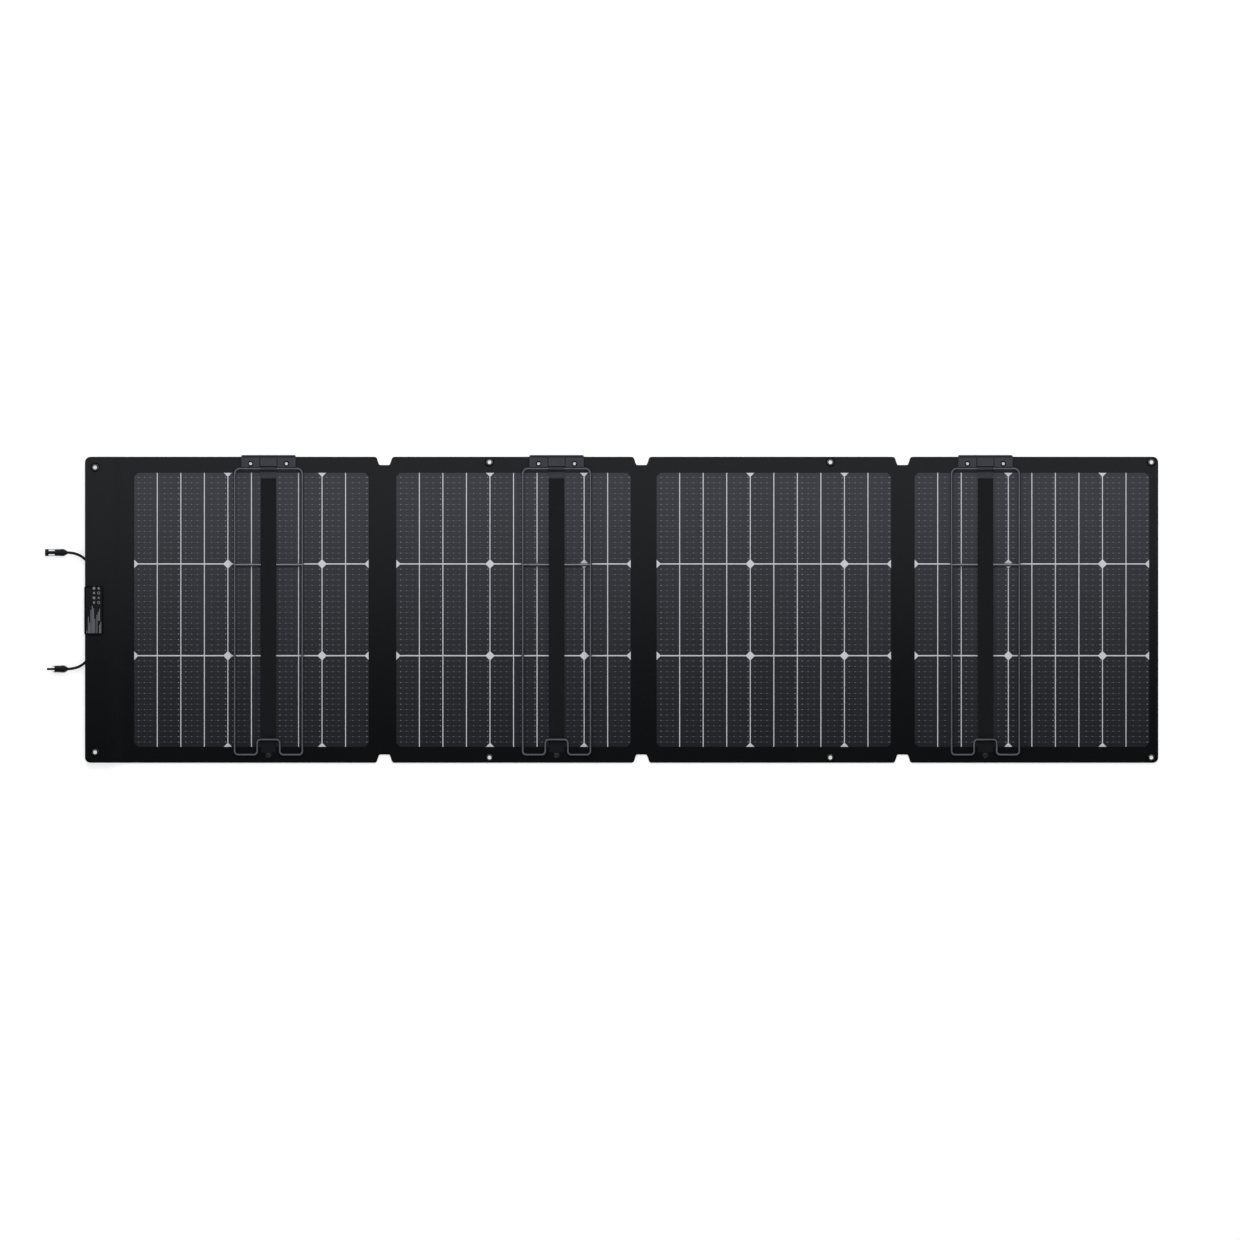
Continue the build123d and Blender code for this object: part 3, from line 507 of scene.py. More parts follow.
@dataclass(frozen=True)
class SolderMask:
    """Glass-epoxy board under green solder mask: glossy, with lighter copper tracks showing through."""

    name: str = "board_solder_mask"
    mask: str = "14402A"
    track: str = "2E6B45"
    track_step: float = 3.2 * MM
    band_at_one: float = 0.314  # width in metres of one band of the wave texture at a scale of 1

    def build(self) -> bpy.types.Material:
        """Makes the board's surface.

        Returns:
            The material.
        """
        material, tree, shader = new_surface(self.name, {"Roughness": 0.3})
        place = add_node(tree, "TexCoord").outputs["Object"]
        bands = {"Vector": place, "Scale": self.band_at_one / self.track_step, "Distortion": 1.5}
        lanes = add_node(tree, "TexWave", {"bands_direction": "X"}, bands)
        edge = add_node(tree, "MapRange", None, {"Value": lanes, "From Min": 0.62, "From Max": 0.7})
        shades = {"Factor": edge, "A": linear(self.mask), "B": linear(self.track)}
        tone = add_node(tree, "Mix", COLOUR_MIX, shades)
        tree.links.new(tone.outputs["Result"], shader.inputs["Base Color"])
        bump = add_node(tree, "Bump", None, {"Strength": 0.4, "Distance": 0.03 * MM, "Height": edge})
        tree.links.new(bump.outputs[0], shader.inputs["Normal"])
        return material


class Wardrobe:
    """Every finish, built once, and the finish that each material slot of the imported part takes."""

    def __init__(self) -> None:
        """Builds the finishes."""
        # black rubber standing in for shade round screws, in grooves and round eyelets, and thread, are
        # dull; the ink lies flat on the label
        self.seal_band_and_shade_rubber = Moulded("painted_shade_rubber", "040404", 0.75, specular=0.15, grain=0.8 * MM).build()
        self.thread = Moulded("polyester_thread", "1D1E20", 0.6, grain=0.4 * MM).build()
        self.print_ink = Moulded("screen_print_ink", "88898E", 0.6, depth=0.01 * MM).build()
        finishes = {
            "border_laminate": CoatedCloth(),
            "fold_fabric": CoatedCloth("black_fold_cloth", on_cut=True),
            "webbing": Webbing(),
            "lead_jacket": Moulded("extruded_lead_jacket", "0A0A0B", 0.42, specular=0.45, grain=1.5 * MM),
            # pale film between the strips: matte and evenly lit
            "cell_spacer": Moulded("pale_spacer_film", "E8E8EA", 0.6, specular=0.2, worn="E2E2E4"),
            # nickel-plated brass eyelets and studs, dulled by weather
            "nickel": Metal("nickel_plate", "75736F"),
            "stand_wire": PowderCoat(),
            # zinc-plated rod: drawn along X, so its streaks are long
            "bare_steel": Metal("zinc_plated_rod", "B4B5BA", 0.36, streak=(25.0, 0.7, 0.7)),
            # pressed brass cap under black baked lacquer: smooth and satin
            "black_metal": Moulded(
                "lacquered_brass", "29292D", 0.24, specular=0.8, depth=0.01 * MM, worn="333338"
            ),
            # glass-filled nylon: a shade lighter than the film round it, with a visible grain
            "hinge_plastic": Moulded("glass_filled_nylon", "242428", 0.42, specular=0.8, worn="2B2B2F"),
            "screw_steel": Metal("stainless_screw", "E6E6E8", 0.26, streak=(0.8, 0.8, 0.8)),
            "box_plastic": Moulded("textured_polycarbonate", "050506", 0.6, specular=0.18, worn="08080A"),
            "gasket_rubber": Moulded("foamed_gasket", "1B1B1B", 0.85, grain=0.8 * MM),
            "label_film": Moulded("black_label_film", "0C0D0E", 0.4, specular=0.34, grain=2 * MM),
            "board": SolderMask(),
            "diode_epoxy": Moulded("moulded_epoxy", "141414", 0.6, grain=0.3 * MM),
            "gland_rubber": Moulded("nitrile_rubber", "101010", 0.7, grain=0.8 * MM, worn="161616"),
            "copper": Metal("tinned_copper_ribbon", "C98F6C", 0.32, streak=(20.0, 0.6, 0.6)),
            "connector_plastic": Moulded("moulded_connector", "0C0C0D", 0.44, specular=0.45, worn="101012"),
            "contact_metal": Metal("tin_plated_contact", "CFCFD2"),
        }
        self.slots = {slot: finish.build() for slot, finish in finishes.items()}
        self.slot_of = {row["node"]: row["material_slot"] for row in frame["record"]["subparts"]}

    def dress(self, node: str, material: bpy.types.Material | None = None) -> None:
        """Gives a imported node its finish.

        Args:
            node: Name of the node.
            material: A finish of its own, or None for that of its slot.
        """
        finish = material or self.slots[self.slot_of[node]]
        shape = frame["nodes"][node]
        for slot in shape.material_slots:
            slot.material = finish
        LOG.info("dressed %s in %s", node, finish.name)


# ---------------------------------------------------------------- leads


@dataclass
class ConnectorLead:
    """One round lead, from its gland to the tail of its connector."""

    name: str
    wardrobe: Wardrobe
    route: tuple[tuple[float, float, float], ...]
    length: float
    fittings: tuple[str, ...]
    diameter: float = 5.6 * MM
    span_steps: int = 16
    round_steps: int = 8

    def build(self) -> bpy.types.Object:
        """Returns:
            The lead.
        """
        curve = bpy.data.curves.new(self.name + "_cord", "CURVE")
        curve.dimensions = "3D"
        spline = curve.splines.new("NURBS")
        spline.points.add(len(self.route) - 1)
        for point, place in zip(spline.points, self.route):
            point.co = (*place, 1.0)
        spline.order_u = 3
        spline.use_endpoint_u = True
        spline.resolution_u = self.span_steps
        curve.bevel_depth = self.diameter / 2
        curve.bevel_resolution = self.round_steps
        curve.use_fill_caps = True
        curve.materials.append(self.wardrobe.slots["lead_jacket"])
        piece = bpy.data.objects.new(self.name + "_cord", curve)
        bpy.context.scene.collection.objects.link(piece)
        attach(piece, "panel_1")
        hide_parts(self.name + "_lead")
        for fitting in self.fittings:
            self.wardrobe.dress(fitting)
        return piece


# ---------------------------------------------------------------- fold strips


@dataclass
class FoldStrip:
    """Flexible strip across one fold line."""

    node: str
    bodies: tuple[str, str]
    wardrobe: Wardrobe
    gap_side: int  # which long edge, -1 or 1 along X, stops short of its panel
    body_gap: float = 0.3 * MM
    slice_width: float = 1.0 * MM
    stiff_edge: float = 1.0 * MM  # width along each panel that does not bend

    def build(self) -> bpy.types.Object:
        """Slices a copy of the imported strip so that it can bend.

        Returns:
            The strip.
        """
        low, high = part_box(self.node)
        bm = bmesh.new()
        bm.from_mesh(frame["nodes"][self.node].data)
        bmesh.ops.remove_doubles(bm, verts=bm.verts, dist=MERGE)
        self.close_gap(bm, low.x if self.gap_side < 0 else high.x)
        cuts = int((high.x - low.x) / self.slice_width)
        for index in range(1, cuts):
            at = low.x + index * (high.x - low.x) / cuts
            shape = bm.verts[:] + bm.edges[:] + bm.faces[:]
            bmesh.ops.bisect_plane(bm, geom=shape, plane_co=(at, 0, 0), plane_no=(1, 0, 0), dist=MERGE)
        bmesh.ops.recalc_face_normals(bm, faces=bm.faces)
        self.lay_cut(bm)
        piece = finished_object(bm, self.node + "_cloth", self.wardrobe.slots["fold_fabric"])
        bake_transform(piece)
        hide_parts(self.node)
        return piece

    def close_gap(self, bm: bmesh.types.BMesh, side: float) -> None:
        """Draws one long edge of the strip out to the next panel, so that the cloth has no slit.

        Args:
            bm: The strip.
            side: Where that edge is along X.
        """
        edge = [v for v in bm.verts if abs(v.co.x - side) < NEAR]
        bmesh.ops.translate(bm, verts=edge, vec=(self.gap_side * self.body_gap, 0, 0))

    def lay_cut(self, bm: bmesh.types.BMesh) -> None:
        """Keeps each point's place on the flat strip, so that the cloth's pattern bends with it.

        Args:
            bm: The strip.
        """
        cut = bm.loops.layers.uv.new("cut")
        for face in bm.faces:
            for loop in face.loops:
                loop[cut].uv = loop.vert.co.xy


# ---------------------------------------------------------------- wire stands


@dataclass
class StandStrap:
    """Webbing strap of one stand: sewn round the wire, over the crossbar and down to its press stud."""

    stand: str
    middle: float
    wardrobe: Wardrobe
    width: float = 31.0 * MM
    thickness: float = 0.94 * MM
    wire: tuple[float, float] = (284.0 * MM, 7.0 * MM)  # middle of the wire that the strap goes round
    loop: float = 3.1 * MM  # radius of the webbing's middle round that wire
    loop_steps: int = 16
    # the tab that comes back over the strap: its end, where it bends up to the wire, and its height
    tab_end: float = 263.1 * MM
    tab_bend: float = 272.5 * MM
    tab_height: float = 4.95 * MM
    # the strap's corners in mm: under the tab's end, over the crossbar, down on the sheet, and its end
    run: tuple[tuple[float, float], ...] = ((262.1, 3.9), (90.2, 10.7), (-229.7, 3.8), (-299.0, 3.8))
    ease: float = 14.0 * MM  # how far from a corner the webbing starts to bend
    ease_steps: int = 6
    tongue: float = 14.0 * MM
    tongue_length: float = 12.6 * MM
    tip_round: float = 0.42  # share of the tongue's width
    snap_y: float = -292.3 * MM
    snap_hole: float = 3.2 * MM
    hole_sides: int = 8
    selvedge: float = 0.25 * MM
    square_edge: float = 60  # degrees past which an edge is rounded
    stitch: tuple[float, float, float] = (1.25 * MM, 0.32 * MM, 0.22 * MM)  # half-sizes of one
    stitch_step: float = 3.1 * MM
    stitch_inset: float = 3.2 * MM
    seam: tuple[float, float] = (3.4 * MM, 14.2 * MM)  # its two rows across, from the tab's end
    line: list[Vector] = field(default_factory=list)
    reached: list[float] = field(default_factory=list)

    def build(self) -> bpy.types.Object:
        """Cuts the strap flat, lays it along its line and sews it.

        Returns:
            The strap.
        """
        self.find_line()
        bm = self.flat_cut()
        for vert in bm.verts:
            vert.co = self.laid(vert.co.x, vert.co.y, 0.0)
        piece = finished_object(bm, self.stand + "_webbing", self.wardrobe.slots["webbing"])
        body = piece.modifiers.new("cloth", "SOLIDIFY")
        body.thickness = self.thickness
        body.offset = 0.0
        soft = piece.modifiers.new("selvedge", "BEVEL")
        soft.width = self.selvedge
        soft.segments = 2
        soft.limit_method = "ANGLE"
        soft.angle_limit = math.radians(self.square_edge)
        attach(piece, self.stand)
        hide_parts(self.stand + "_strap")
        self.sewn_seam()
        return piece

    def find_line(self) -> None:
        """Finds the strap's middle line across the sheet and up, and how far along it each point is."""
        y, z = self.wire
        reach = math.hypot(y - self.tab_bend, z - self.tab_height)
        lean = math.atan2(z - self.tab_height, y - self.tab_bend) + math.asin(self.loop / reach)
        line = [Vector((self.tab_end, self.tab_height)), Vector((self.tab_bend, self.tab_height))]
        for index in range(self.loop_steps + 1):
            angle = -lean + (math.pi + lean) * index / self.loop_steps
            line.append(Vector((y + self.loop * math.sin(angle), z + self.loop * math.cos(angle))))
        corners = [line[-1]] + [Vector(p) * MM for p in self.run]
        for before, corner, after in zip(corners, corners[1:], corners[2:]):
            back = corner + (before - corner).normalized() * min(self.ease, (before - corner).length / 2)
            ahead = corner + (after - corner).normalized() * self.ease
            for index in range(self.ease_steps + 1):
                t = index / self.ease_steps
                line.append(back.lerp(corner, t).lerp(corner.lerp(ahead, t), t))
        line.append(corners[-1])
        self.line = line
        self.reached = [0.0]
        for a, b in zip(line, line[1:]):
            self.reached.append(self.reached[-1] + (b - a).length)

    def laid(self, across: float, along: float, proud: float) -> Vector:
        """Place on the laid strap of a point on the flat one.

        Args:
            across: Distance from the strap's middle, along X.
            along: Distance from the sewn end.
            proud: Height over the middle of the webbing, on its outer side.

        Returns:
            The point's place.
        """
        along = min(max(along, 0.0), self.reached[-1])
        index = next(i for i in range(1, len(self.line)) if self.reached[i] >= along - TINY)
        a, b = self.line[index - 1], self.line[index]
        t = (along - self.reached[index - 1]) / max(self.reached[index] - self.reached[index - 1], TINY)
        way = (b - a).normalized()
        point = a.lerp(b, t)
        return Vector((self.middle + across, point.x - way.y * proud, point.y + way.x * proud))

    def flat_cut(self) -> bmesh.types.BMesh:
        """Cuts the flat webbing, with its tongue and its hole for the press stud.

        Returns:
            The webbing, across X and along Y.
        """
        bm = bmesh.new()
        length = self.reached[-1]
        whole = Matrix.Translation((0, length / 2, 0)) @ Matrix.Diagonal((self.width, length, 1, 1))
        bmesh.ops.create_grid(bm, x_segments=1, y_segments=1, size=0.5, matrix=whole)
        shoulder = length - self.tongue_length
        for at in [*self.reached[1:-1], shoulder]:
            self.slit(bm, Vector((0, at, 0)), Vector((0, 1, 0)))
        for side in (-1, 1):
            self.slit(bm, Vector((side * self.tongue / 2, 0, 0)), Vector((1, 0, 0)))
        middles = {face: face.calc_center_median() for face in bm.faces}
        waste = [f for f, at in middles.items() if at.y > shoulder and abs(at.x) > self.tongue / 2]
        bmesh.ops.delete(bm, geom=waste, context="FACES")
        tips = [v for v in bm.verts if v.co.y > length - NEAR]
        rounding = self.tip_round * self.tongue
        bmesh.ops.bevel(
            bm, geom=tips, offset=rounding, segments=6, profile=0.5, affect="VERTICES", material=-1
        )
        stud = Vector((0, length - (self.snap_y - self.run[-1][0] * MM), 0))
        for index in range(self.hole_sides):
            angle = FULL_TURN * index / self.hole_sides
            way = Vector((math.cos(angle), math.sin(angle), 0))
            near = [f for f in bm.faces if f.calc_center_median().y > shoulder]
            self.slit(bm, stud + way * self.snap_hole, way, near)
        hole = [f for f in bm.faces if (f.calc_center_median() - stud).length < self.snap_hole / 2]
        bmesh.ops.delete(bm, geom=hole, context="FACES")
        cut = bm.loops.layers.uv.new("cut")
        for face in bm.faces:
            for loop in face.loops:
                loop[cut].uv = loop.vert.co.xy
        return bm

    def slit(
        self,
        bm: bmesh.types.BMesh,
        place: Vector,
        way: Vector,
        faces: Iterable[bmesh.types.BMFace] | None = None,
    ) -> None:
        """Cuts faces along a straight line.

        Args:
            bm: The webbing.
            place: A point of the line.
            way: Direction square to the line.
            faces: The faces to cut, or None for all.
        """
        chosen = list(bm.faces if faces is None else faces)
        shape = {part for face in chosen for part in (face, *face.edges, *face.verts)}
        bmesh.ops.bisect_plane(bm, geom=list(shape), plane_co=place, plane_no=way, dist=MERGE)

    def sewn_seam(self) -> bpy.types.Object:
        """Sews the rectangle of stitches that holds the loop shut.

        Returns:
            The stitches.
        """
        bm = bmesh.new()
        side = self.width / 2 - self.stitch_inset
        low, high = self.seam
        lines = (
            ((-side, low), (side, low)),
            ((-side, high), (side, high)),
            ((-side, low), (-side, high)),
            ((side, low), (side, high)),
        )
        for start, end in lines:
            run = Vector(end) - Vector(start)
            count = max(2, round(run.length / self.stitch_step))
            for index in range(count):
                here = Vector(start) + run * (index + 0.5) / count
                self.add_stitch(bm, here, run.normalized())
        piece = finished_object(bm, self.stand + "_stitches", self.wardrobe.thread)
        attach(piece, self.stand)
        return piece

    def add_stitch(self, bm: bmesh.types.BMesh, here: Vector, way: Vector) -> None:
        """Adds one stitch.

        Args:
            bm: The seam.
            here: Middle of the stitch on the flat strap.
            way: Its direction on the flat strap.
        """
        long, wide, tall = self.stitch
        top = self.thickness / 2
        place = self.laid(here.x, here.y, top)
        forward = (self.laid(here.x + way.x * MM, here.y + way.y * MM, top) - place).normalized()
        up = (self.laid(here.x, here.y, top + MM) - place).normalized()
        turn = Matrix((forward, up.cross(forward), up)).transposed().to_4x4()
        matrix = Matrix.Translation(place) @ turn @ Matrix.Diagonal((long, wide, tall, 1))
        bmesh.ops.create_uvsphere(bm, u_segments=6, v_segments=5, radius=1, matrix=matrix)


@dataclass
class WireStand:
    """Hinged wire stand with its crossbar, hinge block, press stud and strap."""

    name: str
    middle: float
    panel: str
    wardrobe: Wardrobe
    screw_place: tuple[float, float, float] = (36.0 * MM, 293.5 * MM, 9.3 * MM)
    # section of the black ring in the recess round a screw, painted shade there: radius and height in mm
    screw_shade_ring: tuple[tuple[float, float], ...] = (
        (3.6, 0.04),
        (5.7, 0.04),
        (5.7, 1.75),
        (5.1, 1.6),
        (4.7, 0.25),
        (3.6, 0.2),
    )
    # black strips laid in the cover's grooves and along its rim step, painted shadow in them: middle, then
    # width and length, in mm
    groove_shadows: tuple[tuple[float, float, float, float], ...] = (
        (-17.3, 296.7, 1.2, 19.0),
        (17.3, 296.7, 1.2, 19.0),
        (0.0, 307.3, 104.0, 1.6),
    )
    groove_shadow_floor: float = 10.3 * MM
    groove_shadow_height: float = 0.5 * MM
    groove_shadow_round: float = 0.18 * MM
    bar_end: float = 65.5 * MM
    bar: tuple[float, float, float] = (90.2 * MM, 7.0 * MM, 3.0 * MM)  # the crossbar's middle and radius
    weld_length: float = 3.0 * MM
    weld_height: float = 0.7 * MM
    weld_hollow: tuple[float, float] = (0.6, 0.25)  # shares of its length and height where a weld is hollow
    weld_steps: int = 20
    parts: tuple[str, ...] = (
        "wire",
        "crossbar",
        "snap_cap",
        "snap_stud",
        "hinge_base",
        "hinge_cover",
        "hinge_screws",
    )

    def build(self) -> None:
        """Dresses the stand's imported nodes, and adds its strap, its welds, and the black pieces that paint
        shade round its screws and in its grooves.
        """
        for part in self.parts:
            self.wardrobe.dress(f"{self.name}_{part}")
        StandStrap(self.name, self.middle, self.wardrobe).build()
        self.welds()
        self.shade_pieces()

    def shade_pieces(self) -> bpy.types.Object:
        """Adds black rings round the hinge screws and black strips in the cover's grooves: painted shade in
        those recesses and grooves.

        Returns:
            The painted shade pieces.
        """
        across, y, z = self.screw_place
        bm = bmesh.new()
        for side in (-1, 1):
            add_ring(bm, Vector((self.middle + side * across, y, z)), self.screw_shade_ring)
        for at, along, wide, long in self.groove_shadows:
            size = Matrix.Diagonal((wide * MM, long * MM, self.groove_shadow_height, 1))
            level = self.groove_shadow_floor + self.groove_shadow_height / 2
            place = Matrix.Translation((self.middle + at * MM, along * MM, level))
            made = bmesh.ops.create_cube(bm, size=1, matrix=place @ size)
            edges = list({e for v in made["verts"] for e in v.link_edges})
            bmesh.ops.bevel(
                bm,
                geom=edges,
                offset=self.groove_shadow_round,
                segments=2,
                profile=0.5,
                affect="EDGES",
                material=-1,
                clamp_overlap=True,
            )
        piece = finished_object(bm, self.name + "_painted_shade_pieces", self.wardrobe.seal_band_and_shade_rubber)
        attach(piece, self.panel)
        return piece

    def welds(self) -> bpy.types.Object:
        """Adds the bead of weld round each end of the crossbar.

        Returns:
            The welds.
        """
        y, z, radius = self.bar
        bm = bmesh.new()
        for side in (-1, 1):
            bead = bmesh.new()
            outer = Vector((self.middle + side * self.bar_end, y, z))
            inner = outer - Vector((side * self.weld_length, 0, 0))
            along, up = self.weld_hollow
            hollow = inner.lerp(outer, along) + Vector((0, 0, radius + up * self.weld_height))
            crown = outer + Vector((0, 0, radius + self.weld_height))
            ends = [inner + Vector((0, 0, radius)), hollow, crown]
            verts = [bead.verts.new(p) for p in ends]
            edges = [bead.edges.new(pair) for pair in zip(verts, verts[1:])]
            bmesh.ops.spin(
                bead,
                geom=verts + edges,
                cent=outer,
                axis=(1, 0, 0),
                angle=FULL_TURN,
                steps=self.weld_steps,
                use_merge=True,
            )
            bmesh.ops.remove_doubles(bead, verts=bead.verts, dist=MERGE)
            bmesh.ops.recalc_face_normals(bead, faces=bead.faces)
            rough = bpy.data.meshes.new("bead")
            bead.to_mesh(rough)
            bead.free()
            bm.from_mesh(rough)
            bpy.data.meshes.remove(rough)
        for face in bm.faces:
            face.smooth = True
        piece = finished_object(bm, self.name + "_welds", self.wardrobe.slots["bare_steel"])
        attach(piece, self.name)
        return piece


# ---------------------------------------------------------------- junction box


class Sign(Enum):
    """Plain shapes printed on the label in place of symbols, by how many sides each is drawn with."""

    DISC = 20
    SQUARE = 4
    TRIANGLE = 3
    RING = 24


@dataclass
class RatingLabel:
    """Generic print of the junction box's label: rows of plain shapes over plain bars."""

    wardrobe: Wardrobe
    top: float = 16.6 * MM
    ink: float = 0.04 * MM
    sign_radius: float = 2.9 * MM
    ring_band: float = 0.42  # share of a ring's radius that is inked
    # middles of the signs, across and along the label, in mm
    sign_columns: tuple[float, ...] = (-1060.3, -1050.9)
    sign_rows: tuple[float, ...] = (43.2, 33.8, 24.0, 14.6)
    signs: tuple[Sign, ...] = (
        Sign.DISC,
        Sign.SQUARE,
        Sign.SQUARE,
        Sign.RING,
        Sign.DISC,
        Sign.TRIANGLE,
        Sign.SQUARE,
        Sign.RING,
    )
    bar_width: float = 1.3 * MM
    # plain bars in place of lines of text: middle, then both ends, in mm
    bars: tuple[tuple[float, float, float], ...] = (
        (-1074.6, -47.0, -42.0),
        (-1071.6, -47.0, -14.0),
        (-1069.0, -47.0, -26.0),
        (-1066.4, -47.0, 0.0),
        (-1063.8, -47.0, 8.0),
        (-1061.2, -47.0, 3.0),
        (-1058.6, -47.0, -18.0),
        (-1054.4, -47.0, -10.0),
        (-1051.8, -22.0, -4.0),
        (-1049.2, -22.0, 2.0),
        (-1049.2, -47.0, -30.0),
        (-1046.6, -47.0, -24.0),
    )

    def build(self) -> bpy.types.Object:
        """Prints the label.

        Returns:
            The print.
        """
        bm = bmesh.new()
        places = [(x * MM, y * MM) for y in self.sign_rows for x in self.sign_columns]
        for sign, (x, y) in zip(self.signs, places):
            self.add_sign(bm, sign, x, y)
        for x, low, high in self.bars:
            size = Matrix.Diagonal((self.bar_width, (high - low) * MM, self.ink, 1))
            place = Matrix.Translation((x * MM, (low + high) / 2 * MM, self.top))
            bmesh.ops.create_cube(bm, size=1, matrix=place @ size)
        piece = finished_object(bm, "box_label_print", self.wardrobe.print_ink)
        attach(piece, "panel_1")
        return piece

    def add_sign(self, bm: bmesh.types.BMesh, sign: Sign, x: float, y: float) -> None:
        """Adds one plain shape.

        Args:
            bm: The print.
            sign: Which shape.
            x: Its middle across the label.
            y: Its middle along the label.
        """
        turn = Matrix.Rotation(math.pi / 4 if sign is Sign.SQUARE else math.pi / 2, 4, "Z")
        place = Matrix.Translation((x, y, self.top - self.ink / 2)) @ turn
        made = bmesh.ops.create_circle(
            bm, cap_ends=True, segments=sign.value, radius=self.sign_radius, matrix=place
        )
        faces = list({f for v in made["verts"] for f in v.link_faces})
        if sign is Sign.RING:
            band = self.ring_band * self.sign_radius
            bmesh.ops.inset_region(bm, faces=faces, thickness=band, use_boundary=True)
            bmesh.ops.delete(bm, geom=faces, context="FACES_ONLY")
            faces = list({f for v in made["verts"] for f in v.link_faces})
        grown = bmesh.ops.extrude_face_region(bm, geom=faces, use_keep_orig=True)
        lifted = [part for part in grown["geom"] if isinstance(part, bmesh.types.BMVert)]
        bmesh.ops.translate(bm, verts=lifted, vec=(0, 0, self.ink))


@dataclass
class JunctionBox:
    """Box on the left edge, with its board, glands, label and leads."""

    wardrobe: Wardrobe
    parts: tuple[str, ...] = (
        "box_lower_shell",
        "box_gasket",
        "box_upper_shell",
        "box_label",
        "box_screws",
        "circuit_board",
        "bypass_diodes",
        "lead_glands",
        "output_ribbons",
    )

    def build(self) -> None:
        """Dresses the box and prints its label."""
        for part in self.parts:
            self.wardrobe.dress(part)
        RatingLabel(self.wardrobe).build()


# ---------------------------------------------------------------- panels


@dataclass
class Panel:
    """One panel: its border, cells, spacer grid and eyelets."""

    number: int
    eyelet: tuple[float, float, float]  # place of the upper one, in mm
    wardrobe: Wardrobe
    # section of the black ring round an eyelet, painted shade round it: radius and height in mm
    eyelet_shade_ring: tuple[tuple[float, float], ...] = ((7.3, 0.37), (8.8, 0.42), (9.4, 0.02), (7.3, 0.02))

    def build(self) -> None:
        """Dresses the panel, its cell pattern laid out from its own corner, and adds black rings round its
        eyelets as painted shade.
        """
        name = f"panel_{self.number}"
        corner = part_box(name + "_cells")[0]
        film = CellFilm(f"cell_film_{self.number}", corner.x, corner.y).build()
        self.wardrobe.dress(name + "_cells", film)
        for part in ("border", "spacer", "eyelets"):
            self.wardrobe.dress(f"{name}_{part}")
        bm = bmesh.new()
        x, y, top = (value * MM for value in self.eyelet)
        for side in (-1, 1):
            add_ring(bm, Vector((x, side * y, top)), self.eyelet_shade_ring)
        piece = finished_object(bm, name + "_eyelet_shade_rings", self.wardrobe.seal_band_and_shade_rubber)
        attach(piece, name)


# ---------------------------------------------------------------- studio


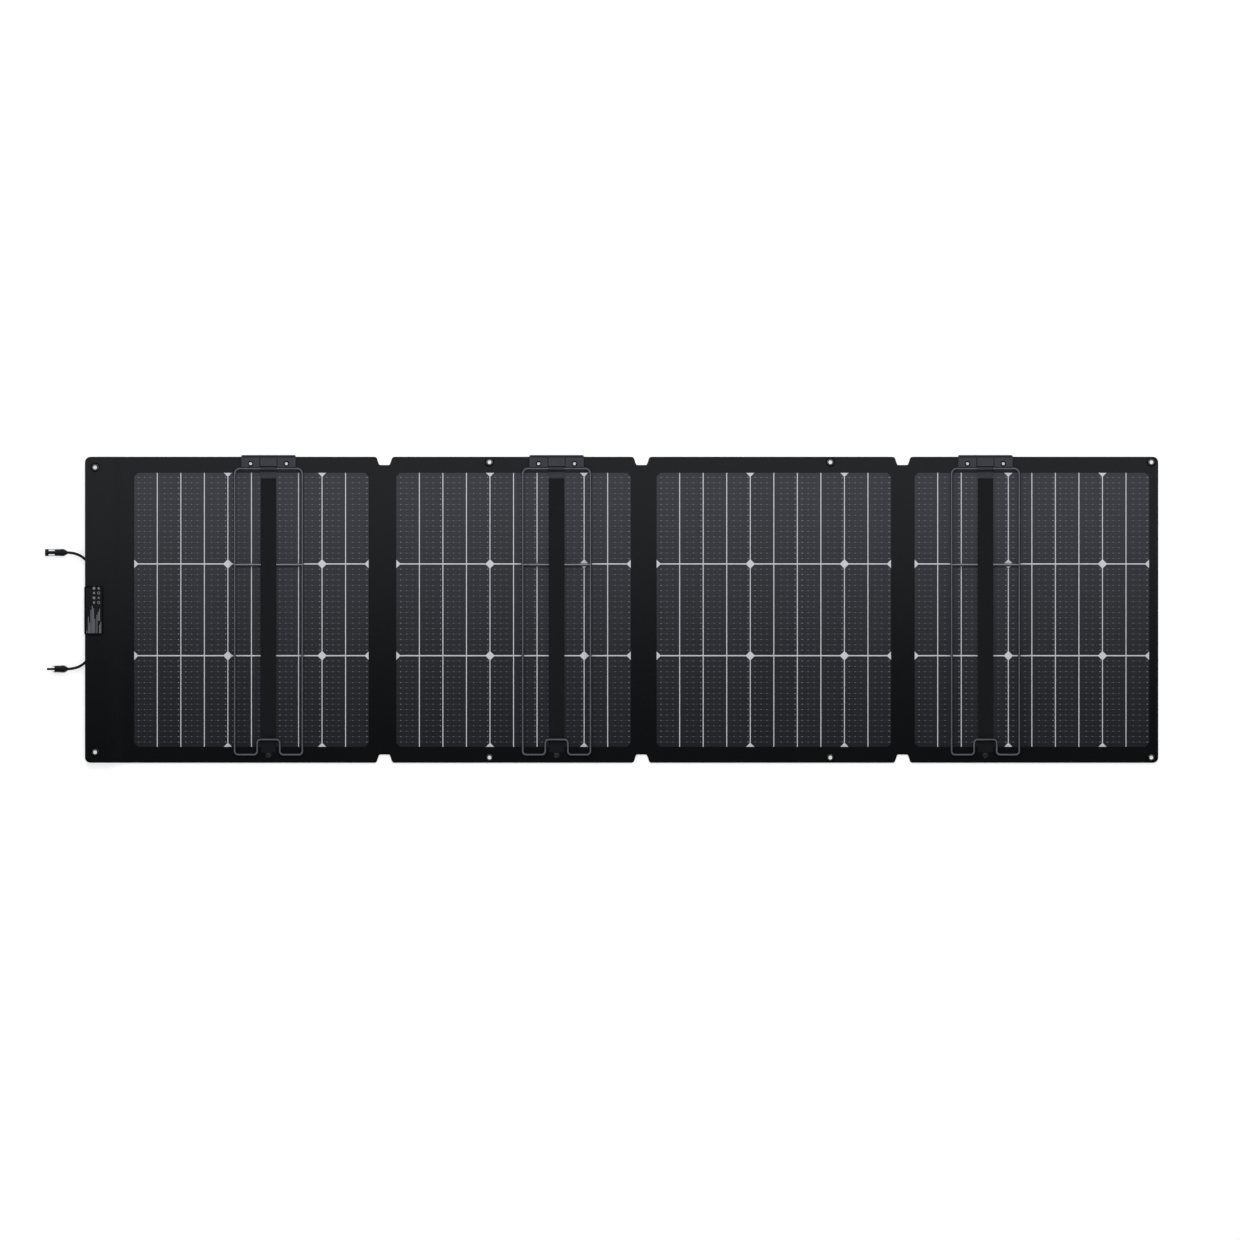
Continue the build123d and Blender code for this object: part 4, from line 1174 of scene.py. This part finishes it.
@dataclass
class Studio:
    """Straight-down camera, pale floor and soft light."""

    view: tuple[float, float] = (-0.0032, -0.0205)  # the point of the sheet under the middle of the view
    view_width: float = 2.492
    height: float = 3.0
    floor_size: float = 14.0
    floor_drop: float = 0.5 * MM
    floor_glow: float = 0.55
    floor_tones: tuple[str, str] = ("F4F4F4", "F8F8F8")
    room: float = 0.03  # strength of the light from the room
    # each lamp: the angle it comes from, turned from +X, then its angle over the floor, and its strength
    lamps: tuple[tuple[float, float, float], ...] = (
        (90, 34, 0.95),
        (200, 28, 0.62),
        (340, 28, 0.62),
        (270, 28, 0.62),
    )
    lamp_softness: float = 35  # degrees that a lamp is wide
    softbox_power: float = 11.5
    softbox_tint: str = "EFF2FF"
    softbox_size: tuple[float, float] = (3.6, 1.2)
    softbox_place: tuple[float, float, float] = (0.0, 0.65, 1.1)

    def camera(self) -> None:
        """Sets up the camera."""
        lens = bpy.data.cameras.new("camera")
        lens.type = "ORTHO"
        lens.ortho_scale = self.view_width
        eye = bpy.data.objects.new("camera", lens)
        eye.location = (*self.view, self.height)
        bpy.context.scene.collection.objects.link(eye)
        bpy.context.scene.camera = eye

    def light(self) -> None:
        """Adds the lamps, the softbox over the hinge edge, the room and the floor."""
        scene = bpy.context.scene
        scene.view_settings.view_transform = "Standard"
        for index, (compass, height, strength) in enumerate(self.lamps):
            lamp = bpy.data.lights.new(f"lamp_{index}", "SUN")
            lamp.energy = strength
            lamp.angle = math.radians(self.lamp_softness)
            holder = bpy.data.objects.new(f"lamp_{index}", lamp)
            turn, lift = math.radians(compass), math.radians(height)
            way = Vector((math.cos(turn) * math.cos(lift), math.sin(turn) * math.cos(lift), math.sin(lift)))
            holder.rotation_mode = "QUATERNION"
            holder.rotation_quaternion = way.to_track_quat("Z", "Y")
            holder.visible_glossy = False
            scene.collection.objects.link(holder)
        softbox = bpy.data.lights.new("softbox", "AREA")
        softbox.shape = "RECTANGLE"
        softbox.size, softbox.size_y = self.softbox_size
        softbox.energy = self.softbox_power
        softbox.color = linear(self.softbox_tint)[:3]
        holder = bpy.data.objects.new("softbox", softbox)
        holder.location = self.softbox_place
        holder.visible_camera = False
        scene.collection.objects.link(holder)
        self.backdrop()
        self.floor()

    def backdrop(self) -> None:
        """Sets a dim even room, which shows white past the edge of the floor."""
        world = bpy.data.worlds.new("room")
        world.use_nodes = True
        tree = world.node_tree
        tree.nodes.clear()
        dim = add_node(tree, "Background", None, {"Color": (1, 1, 1, 1), "Strength": self.room})
        white = add_node(tree, "Background", None, {"Color": (1, 1, 1, 1), "Strength": 1.0})
        seen = add_node(tree, "LightPath").outputs["Is Camera Ray"]
        shown = add_node(tree, "MixShader", None, {0: seen, 1: dim, 2: white})
        add_node(tree, "OutputWorld", None, {"Surface": shown})
        bpy.context.scene.world = world

    def floor(self) -> None:
        """Lays the floor just under the sheet."""
        material, tree, shader = new_surface("studio_floor", {"Roughness": 0.9, "Specular IOR Level": 0.1})
        place = add_node(tree, "TexCoord").outputs["Object"]
        paper = add_node(tree, "TexNoise", None, {"Vector": place, "Scale": 3.0})
        dark, light = (linear(code) for code in self.floor_tones)
        tone = add_node(tree, "Mix", COLOUR_MIX, {"Factor": paper, "A": dark, "B": light})
        tree.links.new(tone.outputs["Result"], shader.inputs["Base Color"])
        shader.inputs["Emission Color"].default_value = (1, 1, 1, 1)
        shader.inputs["Emission Strength"].default_value = self.floor_glow
        bm = bmesh.new()
        low = Matrix.Translation((0, 0, -self.floor_drop))
        bmesh.ops.create_grid(bm, x_segments=8, y_segments=8, size=self.floor_size / 2, matrix=low)
        finished_object(bm, "studio_floor", material)


# ---------------------------------------------------------------- making


def main() -> None:
    """Builds everything in order, and reports each sub-assembly."""
    logging.basicConfig(level=logging.INFO, format="%(name)s: %(message)s")
    studio = Studio()
    studio.camera()
    wardrobe = Wardrobe()
    leads = (
        ConnectorLead(
            "socket",
            wardrobe,
            (
                (-1.0609, 0.05735, 0.0050),
                (-1.0609, 0.0755, 0.0050),
                (-1.0746, 0.1004, 0.0054),
                (-1.0970, 0.1146, 0.0066),
                (-1.1143, 0.1150, 0.0073),
            ),
            0.0892,
            ("socket_nut", "socket_body", "socket_contact"),
        ),
        ConnectorLead(
            "plug",
            wardrobe,
            (
                (-1.0609, -0.06035, 0.0050),
                (-1.0609, -0.0790, 0.0050),
                (-1.0742, -0.1040, 0.0054),
                (-1.0960, -0.1182, 0.0066),
                (-1.1130, -0.1190, 0.0073),
            ),
            0.0889,
            ("plug_nut", "plug_body", "plug_contact"),
        ),
    )
    for lead in leads:
        LOG.info("laid %s", lead.build().name)
    eyelets = ((-1058.1, 286.2, 13.0), (-265.5, 296.8, 3.0), (419.5, 296.8, 3.0), (1064.7, 296.8, 3.0))
    for number, eyelet in enumerate(eyelets, start=1):
        Panel(number, eyelet, wardrobe).build()
    folds = (
        FoldStrip("fold_strip_12", ("panel_1", "panel_2"), wardrobe, -1),
        FoldStrip("fold_strip_23", ("panel_2", "panel_3"), wardrobe, 1),
        FoldStrip("fold_strip_34", ("panel_3", "panel_4"), wardrobe, 1),
    )
    for fold in folds:
        LOG.info("blended %s", fold.build().name)
    for name, panel in (("left_stand", "panel_1"), ("middle_stand", "panel_2"), ("right_stand", "panel_4")):
        low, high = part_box(name + "_hinge_cover")
        WireStand(name, (low.x + high.x) / 2, panel, wardrobe).build()
        LOG.info("rigged %s", name)
    JunctionBox(wardrobe).build()
    LOG.info("closed the junction box")
    studio.light()


if __name__ == "__main__":
    main()
